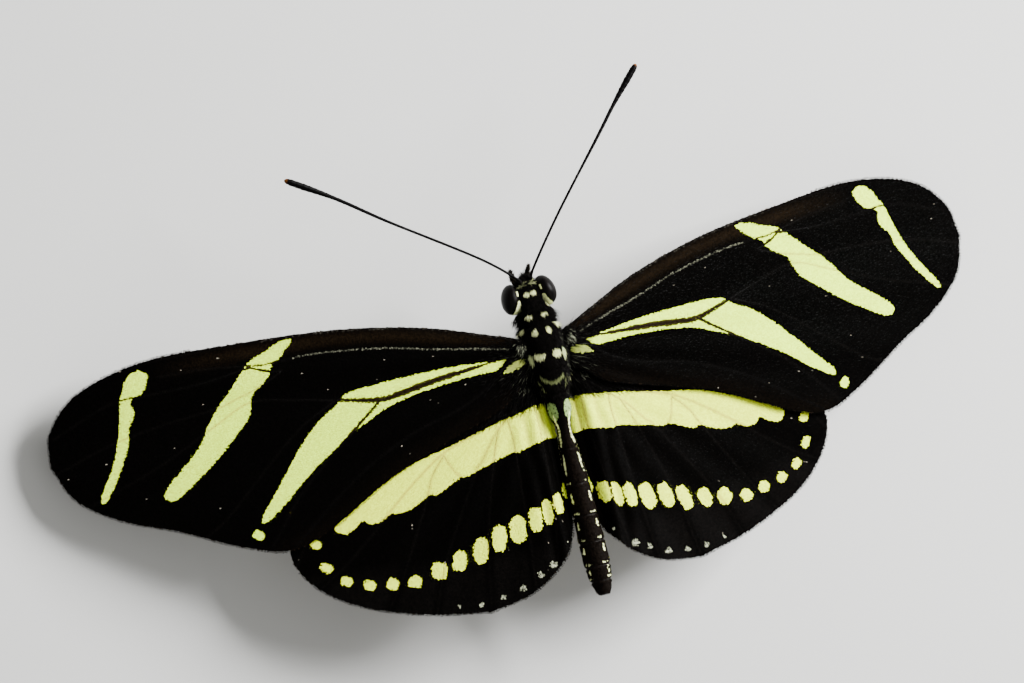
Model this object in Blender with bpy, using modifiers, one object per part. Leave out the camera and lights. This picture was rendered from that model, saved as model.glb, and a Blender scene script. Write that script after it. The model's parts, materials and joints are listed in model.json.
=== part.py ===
"""Zebra longwing butterfly at rest with its wings spread, life size.

Units are metres in Blender and millimetres in the numbers below.
The head points along -Y, the butterfly's left side is +X and the floor is z = 0.
Side +1 is the left side and -1 the right.
"""
import math

import bmesh
import bpy
import numpy as np
from mathutils import Matrix

MM = 0.001

# Heights and places of the main parts
AXIS_HEIGHT = 10.7          # body axis above the floor
BODY_Y = 0.49               # moves the body so that the whole stands centred on the origin
BODY_ROLL = 12.0            # degrees that the back leans to the left
BODY_SIDES = 20

# Wings: both pairs share one height function
WING_THICKNESS = 0.5
WING_ROOT_X = 2.0
WING_ROOT_HEIGHT = 11.5
WING_DROOP = 12.0           # degrees below level
WING_REACH = 45.0
WING_ARCH = 0.5             # rise of the middle over a straight wing
WING_CAMBER = 0.002         # fall per square millimetre fore and aft of the ridge
WING_RIDGE_Y = 4.0
HINDWING_DROP = 0.95        # hindwing under forewing, middle to middle
WING_SPAN_CELLS = 20
WING_CHORD_CELLS = 7

# Outlines in plan: x outward from the midline, y toward the tail
FOREWING_LEADING = [(2.3, -1.7), (5.5, -3.0), (10.3, -4.8), (17.5, -6.5), (26.0, -7.5),
                    (34.4, -8.0), (40.6, -6.7), (43.7, -4.0), (44.4, -1.0)]
FOREWING_TRAILING = [(2.3, 0.6), (3.8, 2.7), (5.7, 4.0), (10.7, 5.5), (16.0, 7.2), (22.0, 10.2),
                     (26.0, 11.3), (30.0, 10.0), (35.2, 7.2), (39.6, 5.1), (43.0, 2.4), (44.4, -1.0)]
HINDWING_LEADING = [(2.3, 1.5), (7.0, 1.8), (13.0, 3.2), (19.0, 5.8), (23.8, 8.6), (26.1, 11.6),
                    (24.7, 14.9), (21.3, 17.6), (15.8, 19.8), (10.2, 21.0)]
HINDWING_TRAILING = [(2.1, 2.6), (1.65, 4.2), (1.5, 7.5), (1.5, 11.5), (1.4, 14.8), (2.1, 17.0),
                     (3.9, 19.0), (6.6, 20.4), (10.2, 21.0)]

# Body stations: y toward the tail, half width, half height, centre over the axis
HEAD_STATIONS = [(-6.85, 0.4, 0.45, -0.7), (-6.6, 0.85, 0.9, -0.65), (-6.0, 1.3, 1.3, -0.55),
                 (-5.3, 1.52, 1.45, -0.45), (-4.7, 1.5, 1.4, -0.4), (-4.28, 1.34, 1.2, -0.35)]
NECK_STATIONS = [(-3.93, 1.38, 1.28, -0.3), (-3.4, 1.52, 1.5, -0.25), (-2.75, 1.6, 1.65, -0.2)]
THORAX_STATIONS = [(-2.45, 1.7, 1.75, -0.2), (-1.8, 1.9, 2.1, -0.15), (-0.8, 2.0, 2.4, -0.1),
                   (0.7, 2.0, 2.45, -0.1), (2.0, 1.8, 2.15, -0.1), (3.0, 1.45, 1.6, -0.05),
                   (3.7, 1.15, 1.2, 0.0)]
ABDOMEN_STATIONS = [(4.0, 1.12, 1.2, 0.0), (4.8, 1.15, 1.2, -0.05), (5.7, 0.9, 1.0, -0.1),
                    (6.6, 0.72, 0.85, -0.17), (8.5, 0.88, 0.97, -0.3), (11.0, 1.06, 1.13, -0.48),
                    (14.5, 1.1, 1.18, -0.72), (18.3, 1.18, 1.22, -1.0), (20.2, 1.04, 1.07, -1.13),
                    (21.4, 0.8, 0.82, -1.22), (21.95, 0.55, 0.56, -1.25), (22.1, 0.38, 0.38, -1.26)]
ABDOMEN_JOINTS = [8.7, 11.9, 14.8, 17.2, 19.4, 20.7]
JOINT_DEPTH = 0.05
JOINT_WIDTH = 0.35

# The head turns about the neck, and each eye leans inward toward the front
HEAD_TURN = 3.0             # degrees to the left
HEAD_PIVOT_Y = -4.1
EYE_CENTRE = (1.62, -5.33, -0.45)
EYE_RADII = (0.88, 1.34, 1.4)
EYE_SKEW = 0.12             # millimetres outward for each one toward the tail
SOCKET_GAP = 0.28

# Palps, proboscis and antennae
PALP_PATH = [(0.45, -6.3, -2.3), (0.5, -6.9, -2.1), (0.65, -7.4, -1.5), (0.82, -7.65, -0.8)]
PALP_RADII = [0.25, 0.33, 0.32, 0.25]
PROBOSCIS_CENTRE = (0.0, -5.35, -2.9)
PROBOSCIS_RADIUS = 0.7
PROBOSCIS_WIDTH = 0.5
ANTENNA_PATHS = {
    1: [(1.15, -7.0, 0.7), (4.2, -9.6, 0.8), (11.3, -14.6, 0.45), (15.5, -17.75, 0.2), (19.6, -20.4, 0.0)],
    -1: [(0.62, -7.35, 0.7), (4.2, -11.6, 0.8), (9.8, -17.4, 0.45), (12.3, -20.0, 0.2), (15.2, -22.8, 0.0)],
}
ANTENNA_RADII = [0.25, 0.25, 0.25, 0.34, 0.25]

# Legs: x outward, y toward the tail, height over the floor
FOOT_HEIGHT = 0.22
FORELEG_PATH = [(0.42, -1.3, 7.65), (0.45, -2.2, 7.8), (0.45, -3.1, 8.0), (0.42, -3.8, 8.1)]
FORELEG_RADII = [0.25, 0.3, 0.27, 0.25]
MIDLEG_PATH = [(0.75, 0.3, 7.75), (2.7, 0.1, 7.5), (4.8, -0.3, 6.6), (6.5, -0.6, 3.9), (7.6, -0.9, 1.5),
               (8.5, -1.2, FOOT_HEIGHT), (9.6, -1.7, FOOT_HEIGHT), (10.5, -2.2, FOOT_HEIGHT)]
HINDLEG_PATH = [(0.75, 2.0, 8.05), (2.4, 3.0, 7.7), (4.2, 4.2, 6.9), (5.4, 6.1, 4.1), (6.2, 7.6, 1.6),
                (6.9, 8.8, FOOT_HEIGHT), (7.6, 10.3, FOOT_HEIGHT), (8.1, 11.5, FOOT_HEIGHT)]
LEG_RADII = [0.3, 0.36, 0.28, 0.25, 0.25, 0.25, 0.25, 0.25]

SIDE_NAMES = {1: "left", -1: "right"}


def clear_scene():
    """Remove every object of the open scene."""
    for item in list(bpy.data.objects):
        bpy.data.objects.remove(item, do_unlink=True)


def make_material(name, colour, roughness, coat=0.0):
    """Make a plain Principled material."""
    material = bpy.data.materials.new(name)
    material.use_nodes = True
    shader = material.node_tree.nodes["Principled BSDF"]
    shader.inputs["Base Color"].default_value = (*colour, 1.0)
    shader.inputs["Roughness"].default_value = roughness
    shader.inputs["Metallic"].default_value = 0.0
    shader.inputs["Coat Weight"].default_value = coat
    return material


def smooth_path(points, samples):
    """Pass a Catmull-Rom curve through the points and sample it evenly by its length."""
    given = np.array(points, dtype=float)
    padded = np.vstack([2 * given[0] - given[1], given, 2 * given[-1] - given[-2]])
    fine = []
    for index in range(len(given) - 1):
        before, start, end, after = padded[index:index + 4]
        for t in np.linspace(0.0, 1.0, 24, endpoint=False):
            fine.append(0.5 * (2 * start + (end - before) * t
                               + (2 * before - 5 * start + 4 * end - after) * t ** 2
                               + (3 * start - before - 3 * end + after) * t ** 3))
    fine = np.array(fine + [given[-1]])
    length = np.concatenate([[0.0], np.cumsum(np.linalg.norm(np.diff(fine, axis=0), axis=1))])
    wanted = np.linspace(0.0, length[-1], samples)
    return np.stack([np.interp(wanted, length, fine[:, axis]) for axis in range(fine.shape[1])], axis=1)


def wing_height(x, y):
    """Give the height over the floor of the forewing's middle surface at a place in plan."""
    fall = (x - WING_ROOT_X) * math.tan(math.radians(WING_DROOP))
    arch = WING_ARCH * 4 * (x / WING_REACH) * (1 - x / WING_REACH)
    return WING_ROOT_HEIGHT - fall + arch - WING_CAMBER * (y - WING_RIDGE_Y) ** 2


def add_object(name, mesh, material, collection, parent, smooth_angle=50.0):
    """Put a mesh in the scene as a named part under its parent."""
    mesh.materials.append(material)
    mesh.shade_smooth()
    mesh.set_sharp_from_angle(angle=math.radians(smooth_angle))
    part = bpy.data.objects.new(name, mesh)
    collection.objects.link(part)
    part.parent = parent
    return part


def finish_bmesh(shape, name):
    """Turn a closed bmesh in millimetres into a mesh in metres, its faces pointing out."""
    bmesh.ops.remove_doubles(shape, verts=shape.verts, dist=0.001)
    bmesh.ops.recalc_face_normals(shape, faces=shape.faces)
    bmesh.ops.scale(shape, vec=(MM, MM, MM), verts=shape.verts)
    mesh = bpy.data.meshes.new(name)
    shape.to_mesh(mesh)
    shape.free()
    return mesh


def make_wing(name, leading, trailing, drop, side, material, collection, parent):
    """Loft a wing plate between its leading and trailing edges, on the shared wing height."""
    front = smooth_path(leading, WING_SPAN_CELLS + 1)
    back = smooth_path(trailing, WING_SPAN_CELLS + 1)
    shape = bmesh.new()
    bmesh.ops.create_grid(shape, x_segments=WING_SPAN_CELLS, y_segments=WING_CHORD_CELLS, size=0.5)
    for vertex in shape.verts:
        along = round((vertex.co.x + 0.5) * WING_SPAN_CELLS)
        across = vertex.co.y + 0.5
        x, y = front[along] * (1 - across) + back[along] * across
        vertex.co = (side * x, y, wing_height(x, y) - drop)
    bmesh.ops.remove_doubles(shape, verts=shape.verts, dist=0.001)
    bmesh.ops.scale(shape, vec=(MM, MM, MM), verts=shape.verts)
    mesh = bpy.data.meshes.new(name)
    shape.to_mesh(mesh)
    shape.free()
    wing = add_object(name, mesh, material, collection, parent)
    plate = wing.modifiers.new("Plate", "SOLIDIFY")
    plate.thickness = WING_THICKNESS * MM
    plate.offset = 0.0
    return wing


def make_flesh(name, stations, rings, material, collection, parent, joints=()):
    """Loft a body part through oval stations, with shallow grooves at its joints."""
    path = smooth_path(stations, rings)
    shape = bmesh.new()
    hoops = []
    for y, half_width, half_height, centre in path:
        groove = sum(JOINT_DEPTH * math.exp(-((y - joint) / JOINT_WIDTH) ** 2) for joint in joints)
        hoop = []
        for step in range(BODY_SIDES):
            angle = 2 * math.pi * step / BODY_SIDES
            place = (max(half_width - groove, 0.1) * math.cos(angle), y,
                     centre + max(half_height - groove, 0.1) * math.sin(angle))
            hoop.append(shape.verts.new(place))
        hoops.append(hoop)
    for front, back in zip(hoops, hoops[1:]):
        for step in range(BODY_SIDES):
            after = (step + 1) % BODY_SIDES
            shape.faces.new((front[step], front[after], back[after], back[step]))
    shape.faces.new(hoops[0])
    shape.faces.new(hoops[-1])
    return add_object(name, finish_bmesh(shape, name), material, collection, parent)


def make_ball(name, centre, radii, skew, segments, rings, material, collection, parent):
    """Make an ellipsoid whose x grows by the skew times y."""
    shape = bmesh.new()
    bmesh.ops.create_uvsphere(shape, u_segments=segments, v_segments=rings, radius=1.0)
    bmesh.ops.scale(shape, vec=radii, verts=shape.verts)
    for vertex in shape.verts:
        vertex.co.x += skew * vertex.co.y
    bmesh.ops.translate(shape, vec=centre, verts=shape.verts)
    return add_object(name, finish_bmesh(shape, name), material, collection, parent)


def make_tube(name, path, radii, samples, material, collection, parent, floor=None):
    """Sweep a round limb along a smooth path, flattened where it stands on the floor."""
    line = smooth_path(path, samples)
    given = np.array(path, dtype=float)
    lengths = np.concatenate([[0.0], np.cumsum(np.linalg.norm(np.diff(given, axis=0), axis=1))])
    thickness = np.interp(np.linspace(0.0, lengths[-1], samples), lengths, radii)
    curve = bpy.data.curves.new(name + "_curve", "CURVE")
    curve.dimensions = "3D"
    curve.bevel_depth = MM
    curve.bevel_resolution = 2
    curve.use_fill_caps = True
    spline = curve.splines.new("POLY")
    spline.points.add(samples - 1)
    for point, place, radius in zip(spline.points, line, thickness):
        point.co = (*(place * MM), 1.0)
        point.radius = radius
    guide = bpy.data.objects.new(name + "_guide", curve)
    collection.objects.link(guide)
    bpy.context.view_layer.update()
    mesh = bpy.data.meshes.new_from_object(guide.evaluated_get(bpy.context.evaluated_depsgraph_get()))
    bpy.data.objects.remove(guide, do_unlink=True)
    mesh.name = name
    mesh.materials.clear()
    shape = bmesh.new()
    shape.from_mesh(mesh)
    bmesh.ops.remove_doubles(shape, verts=shape.verts, dist=0.000001)
    if floor is not None:
        for vertex in shape.verts:
            vertex.co.z = max(vertex.co.z, floor)
    bmesh.ops.recalc_face_normals(shape, faces=shape.faces)
    shape.to_mesh(mesh)
    shape.free()
    return add_object(name, mesh, material, collection, parent)


def mirrored(path, side):
    """Carry a path of the left side to the given side."""
    return [(side * x, y, z) for x, y, z in path]


def make_head(materials, parts, cutters, body):
    """Make the head with its eye sockets, the eyes, palps and coiled proboscis."""
    head = make_flesh("head", HEAD_STATIONS, 11, materials["body"], parts, body)
    for side, side_name in SIDE_NAMES.items():
        centre = (side * EYE_CENTRE[0], EYE_CENTRE[1], EYE_CENTRE[2])
        make_ball("eye_" + side_name, centre, EYE_RADII, side * EYE_SKEW, 20, 12,
                  materials["eye"], parts, body)
        socket_radii = tuple(radius + SOCKET_GAP for radius in EYE_RADII)
        socket = make_ball("socket_" + side_name, centre, socket_radii, side * EYE_SKEW, 20, 12,
                           materials["body"], cutters, body)
        socket.hide_render = True
        socket.display_type = "WIRE"
        cut = head.modifiers.new("Socket " + side_name, "BOOLEAN")
        cut.operation = "DIFFERENCE"
        cut.object = socket
        make_tube("palp_" + side_name, mirrored(PALP_PATH, side), PALP_RADII, 9,
                  materials["body"], parts, body)
    make_proboscis(materials, parts, body)


def make_proboscis(materials, parts, body):
    """Make the coiled proboscis as a low drum across the midline."""
    shape = bmesh.new()
    bmesh.ops.create_cone(shape, cap_ends=True, segments=20, radius1=PROBOSCIS_RADIUS,
                          radius2=PROBOSCIS_RADIUS, depth=PROBOSCIS_WIDTH)
    for vertex in shape.verts:
        vertex.co = (PROBOSCIS_CENTRE[0] + vertex.co.z, PROBOSCIS_CENTRE[1] + vertex.co.x,
                     PROBOSCIS_CENTRE[2] + vertex.co.y)
    coil = add_object("proboscis", finish_bmesh(shape, "proboscis"), materials["leg"], parts, body)
    edge = coil.modifiers.new("Round edge", "BEVEL")
    edge.width = 0.12 * MM
    edge.segments = 2


def main():
    """Build the butterfly."""
    clear_scene()
    parts = bpy.data.collections.new("zebra_longwing")
    cutters = bpy.data.collections.new("cutters")
    bpy.context.scene.collection.children.link(parts)
    bpy.context.scene.collection.children.link(cutters)
    materials = {
        "body": make_material("body_black", (0.012, 0.011, 0.01), 0.75),
        "wing": make_material("wing_black", (0.010, 0.009, 0.007), 0.6),
        "eye": make_material("eye_dark", (0.03, 0.03, 0.04), 0.2, 0.5),
        "leg": make_material("leg_black", (0.02, 0.018, 0.015), 0.5),
    }
    place = bpy.data.objects.new("place", None)
    parts.objects.link(place)
    place.location = (0.0, BODY_Y * MM, 0.0)
    body = bpy.data.objects.new("body_axis", None)
    parts.objects.link(body)
    body.parent = place
    body.location = (0.0, 0.0, AXIS_HEIGHT * MM)
    body.rotation_euler = (0.0, math.radians(BODY_ROLL), 0.0)

    head = bpy.data.objects.new("head_turn", None)
    parts.objects.link(head)
    head.parent = body
    head.matrix_local = (Matrix.Translation((0.0, HEAD_PIVOT_Y * MM, 0.0))
                         @ Matrix.Rotation(math.radians(HEAD_TURN), 4, "Z")
                         @ Matrix.Translation((0.0, -HEAD_PIVOT_Y * MM, 0.0)))

    make_head(materials, parts, cutters, head)
    make_flesh("neck", NECK_STATIONS, 4, materials["body"], parts, body)
    make_flesh("thorax", THORAX_STATIONS, 13, materials["body"], parts, body)
    make_flesh("abdomen", ABDOMEN_STATIONS, 37, materials["body"], parts, body, ABDOMEN_JOINTS)

    for side, side_name in SIDE_NAMES.items():
        antenna = [(side * x, y, AXIS_HEIGHT + z) for x, y, z in ANTENNA_PATHS[side]]
        make_tube("antenna_" + side_name, antenna, ANTENNA_RADII, 15, materials["leg"], parts, place)
        make_wing("forewing_" + side_name, FOREWING_LEADING, FOREWING_TRAILING, 0.0, side,
                  materials["wing"], parts, place)
        make_wing("hindwing_" + side_name, HINDWING_LEADING, HINDWING_TRAILING, HINDWING_DROP, side,
                  materials["wing"], parts, place)
        make_tube("foreleg_" + side_name, mirrored(FORELEG_PATH, side), FORELEG_RADII, 8,
                  materials["leg"], parts, place)
        make_tube("midleg_" + side_name, mirrored(MIDLEG_PATH, side), LEG_RADII, 18,
                  materials["leg"], parts, place, floor=0.0)
        make_tube("hindleg_" + side_name, mirrored(HINDLEG_PATH, side), LEG_RADII, 18,
                  materials["leg"], parts, place, floor=0.0)


main()
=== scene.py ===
# %% [markdown]
# # A zebra longwing, scale by scale
#
# The model is a life-size zebra longwing butterfly, still, with its wings spread, as a museum shows one.
# Its solids are ready: they say where each part is and how large it is. This lesson gives the butterfly
# its surface: thin wings under rows of scales, one skin under a coat of hair, faceted eyes, ringed
# antennae and spined legs. Everything is worked out with numpy in millimetres, as whole arrays.
# First we load the solids as a fixed frame.

# %% Load the solids
import json
import math

import bpy
import mathutils
import numpy as np
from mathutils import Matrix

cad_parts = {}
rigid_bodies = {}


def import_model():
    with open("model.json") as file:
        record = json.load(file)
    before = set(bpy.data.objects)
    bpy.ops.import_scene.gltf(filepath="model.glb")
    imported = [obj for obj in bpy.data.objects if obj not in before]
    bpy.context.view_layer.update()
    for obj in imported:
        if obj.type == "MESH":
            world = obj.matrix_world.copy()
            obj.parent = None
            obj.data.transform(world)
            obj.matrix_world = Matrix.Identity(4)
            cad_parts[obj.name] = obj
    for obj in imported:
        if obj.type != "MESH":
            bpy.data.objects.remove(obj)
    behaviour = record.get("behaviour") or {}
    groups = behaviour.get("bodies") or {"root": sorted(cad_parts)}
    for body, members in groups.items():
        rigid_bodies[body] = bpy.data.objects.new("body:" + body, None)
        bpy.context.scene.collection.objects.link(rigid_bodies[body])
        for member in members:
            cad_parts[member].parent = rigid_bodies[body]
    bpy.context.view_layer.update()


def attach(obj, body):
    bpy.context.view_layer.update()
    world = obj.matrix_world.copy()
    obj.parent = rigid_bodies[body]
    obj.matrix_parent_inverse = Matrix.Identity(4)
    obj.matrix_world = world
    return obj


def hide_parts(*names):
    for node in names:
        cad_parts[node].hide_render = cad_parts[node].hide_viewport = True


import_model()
MM = 0.001
dice = np.random.default_rng(20)

# %% [markdown]
# ## Real sizes
#
# The same few sizes placed the solids, so we state them again: the height of the body's axis, the roll of
# the body about it, the turn of the head, and the droop of the wings. The head points along -Y and the
# butterfly's left is +X.

# %% Sizes of the whole, in millimetres
AXIS_HEIGHT = 10.7
BODY_Y = 0.49
BODY_ROLL = math.radians(12.0)
HEAD_TURN = math.radians(3.0)
HEAD_PIVOT_Y = -4.1
WING_ROOT_X = 2.0
WING_ROOT_HEIGHT = 11.5
WING_DROOP = math.tan(math.radians(12.0))
WING_REACH = 45.0
WING_ARCH = 0.5
WING_CAMBER = 0.002
WING_RIDGE_Y = 4.0
HINDWING_SINK = 0.6
SIDES = {"left": 1, "right": -1}
WINGS = [(wing, side_name, side) for side_name, side in SIDES.items() for wing in ("fore", "hind")]
print(f"axis {AXIS_HEIGHT} mm up, rolled by {math.degrees(BODY_ROLL):.0f} degrees, with {len(WINGS)} wings")

# %% [markdown]
# ## Curves, meshes and joined shapes
#
# A few listed points describe every outline, vein and limb. A Catmull-Rom curve passes through all
# of them without corners, which is why it is chosen over a Bezier curve, whose handles would need
# numbers of their own. A shape is a small record of arrays: its points, its faces, a colour for each
# point, and for the coats a place on the flat map named OFBake.

# %% Curve through points
def smooth_curve(points, samples, closed=False):
    """Catmull-Rom curve, resampled at even distances. Between b and c, with neighbours a and d, it is
    half of 2b + (c - a) t + (2a - 5b + 4c - d) t^2 + (3b - a - 3c + d) t^3, for t from 0 to 1."""
    given = np.asarray(points, float)
    if closed:
        given = np.vstack([given[-1], given, given[:2]])
    else:
        given = np.vstack([2 * given[0] - given[1], given, 2 * given[-1] - given[-2]])
    a, b, c, d = (given[k:len(given) - 3 + k, None, :] for k in range(4))
    t = np.linspace(0, 1, 24, endpoint=False)[None, :, None]
    curve = b + 0.5 * ((c - a) * t + (2 * a - 5 * b + 4 * c - d) * t**2 + (3 * b - a - 3 * c + d) * t**3)
    curve = np.vstack([curve.reshape(-1, given.shape[1]), given[-2]])
    travelled = np.append(0, np.cumsum(np.linalg.norm(np.diff(curve, axis=0), axis=1)))
    even = np.linspace(0, travelled[-1], samples)
    return np.stack([np.interp(even, travelled, column) for column in curve.T], axis=1)


# %% Unit vectors, bells and ramps
def unit(vectors):
    """Each vector divided by its length."""
    return vectors / np.linalg.norm(vectors, axis=-1, keepdims=True)


def bell(offset, width):
    """exp(-(offset / width)^2): 1 in the middle, and about a third one width away from it."""
    return np.exp(-(offset / width)**2)


def ramp(value, start, length):
    """0 up to start and 1 from start + length on, with a straight rise between. With a negative length
    it rises toward smaller values."""
    return np.clip((value - start) / length, 0, 1)


# %% Shapes, one or several
def new_shape(points, faces, paint, patch=None):
    """The record of a shape. Paint is a colour for each point, or one for all of them."""
    patch = np.zeros((len(points), 2)) if patch is None else patch
    return {"points": points, "faces": faces, "patch": patch,
            "paint": np.broadcast_to(paint, (len(points), 3))}


def joined(shapes):
    """Several shapes as one: the corner numbers of each shift by the points before it."""
    starts = np.cumsum([0] + [len(shape["points"]) for shape in shapes[:-1]])
    whole = {"faces": [face + start for shape, start in zip(shapes, starts) for face in shape["faces"]]}
    for key in ("points", "paint", "patch"):
        whole[key] = np.vstack([shape[key] for shape in shapes])
    return whole


# %% From arrays to a mesh
def make_mesh(name, shape, smooth):
    """A Blender mesh from a closed shape. The volume is a sixth of the sum of a . (b x c) over the
    triangles; where it comes out negative, every face is turned so that it points outward."""
    points = np.asarray(shape["points"], float)
    fans = [face[:, [0, k - 1, k]] for face in shape["faces"] for k in range(2, face.shape[1])]
    triangles = np.vstack(fans)
    a, b, c = (points[triangles[:, k]] - points.mean(axis=0) for k in range(3))
    volume = np.einsum("ij,ij->", a, np.cross(b, c)) / 6
    faces = [face[:, ::-1] if volume < 0 else face for face in shape["faces"]]
    corners = np.concatenate([face.ravel() for face in faces])
    sizes = np.concatenate([np.full(len(face), face.shape[1]) for face in faces])
    mesh = bpy.data.meshes.new(name)
    mesh.vertices.add(len(points))
    mesh.vertices.foreach_set("co", (points * MM).ravel())
    mesh.loops.add(len(corners))
    mesh.loops.foreach_set("vertex_index", corners)
    mesh.polygons.add(len(sizes))
    mesh.polygons.foreach_set("loop_start", np.cumsum(sizes) - sizes)
    mesh.polygons.foreach_set("use_smooth", np.full(len(sizes), smooth))
    colours = np.column_stack([shape["paint"], np.ones(len(points))])
    mesh.attributes.new("paint", "FLOAT_COLOR", "POINT").data.foreach_set("color", colours.ravel())
    if shape["patch"].any():
        mesh.uv_layers.new(name="OFBake").data.foreach_set("uv", shape["patch"][corners].ravel())
    mesh.update(calc_edges=True)
    print(f"{name}: {len(triangles)} triangles, {abs(volume):.2f} cubic mm")
    return mesh


# %% A piece in the scene
def show_piece(name, shape, finish, nodes=(), smooth=True):
    """Puts a shape in the scene as one piece of the butterfly, in the place of the solids it stands for."""
    mesh = make_mesh(name, shape, smooth)
    mesh.materials.append(finish.material)
    piece = bpy.data.objects.new(name, mesh)
    bpy.context.scene.collection.objects.link(piece)
    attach(piece, "root")
    if nodes:
        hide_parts(*nodes)


# %% [markdown]
# ## Surfaces: a loop carried along a line
#
# A limb, a vein or an antenna is a loop carried along a path. At each place of the path we need two
# directions square to it: one comes from a fixed vector, less its share along the path, and the other is
# the cross product. The ends close with a fan of triangles round one middle point, so that no seam
# or hole is left.

# %% Faces of a wrapped grid, with both ends closed
def sleeve_faces(rows, columns):
    """Quads between the rows of a wrapped grid, and triangles from its first and last row to two poles,
    which are the last two points."""
    row = np.arange(rows - 1)[:, None] * columns
    column = np.arange(columns)[None, :]
    following = (column + 1) % columns
    here, beside = row + column, row + following
    quads = np.stack([here, beside, beside + columns, here + columns], axis=-1)
    last = (rows - 1) * columns
    first_pole = np.full(columns, rows * columns)
    start = np.stack([following[0], column[0], first_pole], axis=-1)
    end = np.stack([last + column[0], last + following[0], first_pole + 1], axis=-1)
    return [quads.reshape(-1, 4), start, end]


# %% Tube along a path
POLE_BULGE = 0.4
LIMB_SIDES = 14


def tube(path, radius, sides, colours, reference=(0.0, 0.0, 1.0), squash=1.0):
    """Centre + radius (cos q across + squash sin q upright) for the angle q, carried along the path.
    The poles stand out past its ends by a share of the radius."""
    tangent = unit(np.gradient(path, axis=0))
    reference = np.asarray(reference, float)
    upright = unit(reference - tangent * (tangent @ reference)[:, None])
    across = np.cross(upright, tangent)
    angle = np.linspace(0, 2 * np.pi, sides, endpoint=False)[None, :, None]
    loop = np.cos(angle) * across[:, None] + squash * np.sin(angle) * upright[:, None]
    rings = path[:, None] + np.asarray(radius)[:, None, None] * loop
    poles = [path[0] - POLE_BULGE * radius[0] * tangent[0], path[-1] + POLE_BULGE * radius[-1] * tangent[-1]]
    points = np.vstack([rings.reshape(-1, 3), poles])
    colours = np.broadcast_to(colours, (len(path), 3))
    paint = np.vstack([np.repeat(colours, sides, axis=0), colours[:1], colours[-1:]])
    return new_shape(points, sleeve_faces(len(path), sides), paint)


# %% [markdown]
# ## Finishes
#
# A finish is a Principled material with a few nodes in front of it. The wrapper below lets us write
# arithmetic on sockets as ordinary Python, and one method adds any other node. Each point of the
# butterfly carries its own colour in an attribute, because the markings are worked out with the shapes.

# %% A socket that can be added and multiplied
class Flow:
    """A value that runs from node to node. Arithmetic on it adds Math nodes."""

    def __init__(self, finish, socket):
        self.finish = finish
        self.socket = socket

    def math(self, operation, first, second):
        return self.finish.node("ShaderNodeMath", {"operation": operation}, {0: first, 1: second})

    def __add__(self, other):
        return self.math("ADD", self, other)

    def __sub__(self, other):
        return self.math("SUBTRACT", self, other)

    def __mul__(self, other):
        return self.math("MULTIPLY", self, other)

    def __rsub__(self, other):
        return self.math("SUBTRACT", other, self)

    __radd__ = __add__
    __rmul__ = __mul__


# %% A material and its nodes
class Finish:
    """A Principled material. Uniform settings go straight onto the shader's sockets."""

    def __init__(self, name, **uniform):
        self.material = bpy.data.materials.new(name)
        self.material.use_nodes = True
        self.nodes = self.material.node_tree.nodes
        self.links = self.material.node_tree.links
        self.shader = self.nodes["Principled BSDF"]
        for socket, value in uniform.items():
            self.shader.inputs[socket.replace("_", " ")].default_value = value
        self.place = self.node("ShaderNodeTexCoord", output="Object")

    def node(self, kind, settings=None, inputs=None, output=0):
        """Adds a node: its settings first, then its inputs."""
        made = self.nodes.new(kind)
        for name, value in (settings or {}).items():
            setattr(made, name, value)
        for key, value in (inputs or {}).items():
            if isinstance(value, Flow):
                self.links.new(value.socket, made.inputs[key])
            else:
                made.inputs[key].default_value = value
        return Flow(self, made.outputs[output])

    def noise(self, size, detail):
        """Cloudy noise whose lumps are about size millimetres across."""
        inputs = {"Vector": self.place, "Scale": 1 / (size * MM), "Detail": detail}
        return self.node("ShaderNodeTexNoise", {}, inputs)

    def mix(self, factor, first, second, blend="MIX"):
        """Colour first, with colour second over it by the factor."""
        settings = {"data_type": "RGBA", "blend_type": blend}
        return self.node("ShaderNodeMix", settings, {0: factor, 6: first, 7: second}, output=2)

    def paint(self):
        """The colour that each point carries."""
        return self.node("ShaderNodeAttribute", {"attribute_name": "paint"}, output="Color")

    def feed(self, **flows):
        """Links flows to the shader's sockets."""
        for socket, flow in flows.items():
            self.links.new(flow.socket, self.shader.inputs[socket.replace("_", " ")])

    def bump(self, height, depth, strength):
        """A normal from a height between 0 and 1 that stands for depth millimetres."""
        inputs = {"Height": height, "Distance": depth * MM, "Strength": strength}
        return self.node("ShaderNodeBump", {}, inputs)


# %% [markdown]
# ### Wing, body, eye and horn
#
# Wing scales are dry plates that hardly gleam: a middling roughness and very little specular light. The
# hair and the skin of the body gleam a little more. The eyes and the limbs are horn: smooth, dark and
# glossy. Each finish mottles the carried colour with fine noise and roughens it unevenly, and most add
# ridges far smaller than the mesh.
#
# All but the eye's follow one recipe, so a function makes them from a few numbers.

# %% Finishes that mottle the carried colour
def grey(value):
    """A grey of one value, as the four numbers of a colour."""
    return (value, value, value, 1.0)


def mottled(name, specular, lumps, greys, rough, detail=2.0, share=0.4, relief=None):
    """Carried colour times greys that follow a noise, by the share. Roughness is the first rough number
    plus the second times the noise, and relief is the depth and strength of the noise as bump."""
    finish = Finish(name, Specular_IOR_Level=specular)
    cloud = finish.noise(lumps, detail)
    shade = finish.mix(cloud, grey(greys[0]), grey(greys[1]))
    finish.feed(Base_Color=finish.mix(share, finish.paint(), shade, "MULTIPLY"),
                Roughness=rough[0] + rough[1] * cloud)
    if relief:
        finish.feed(Normal=finish.bump(cloud, *relief))
    return finish


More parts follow.
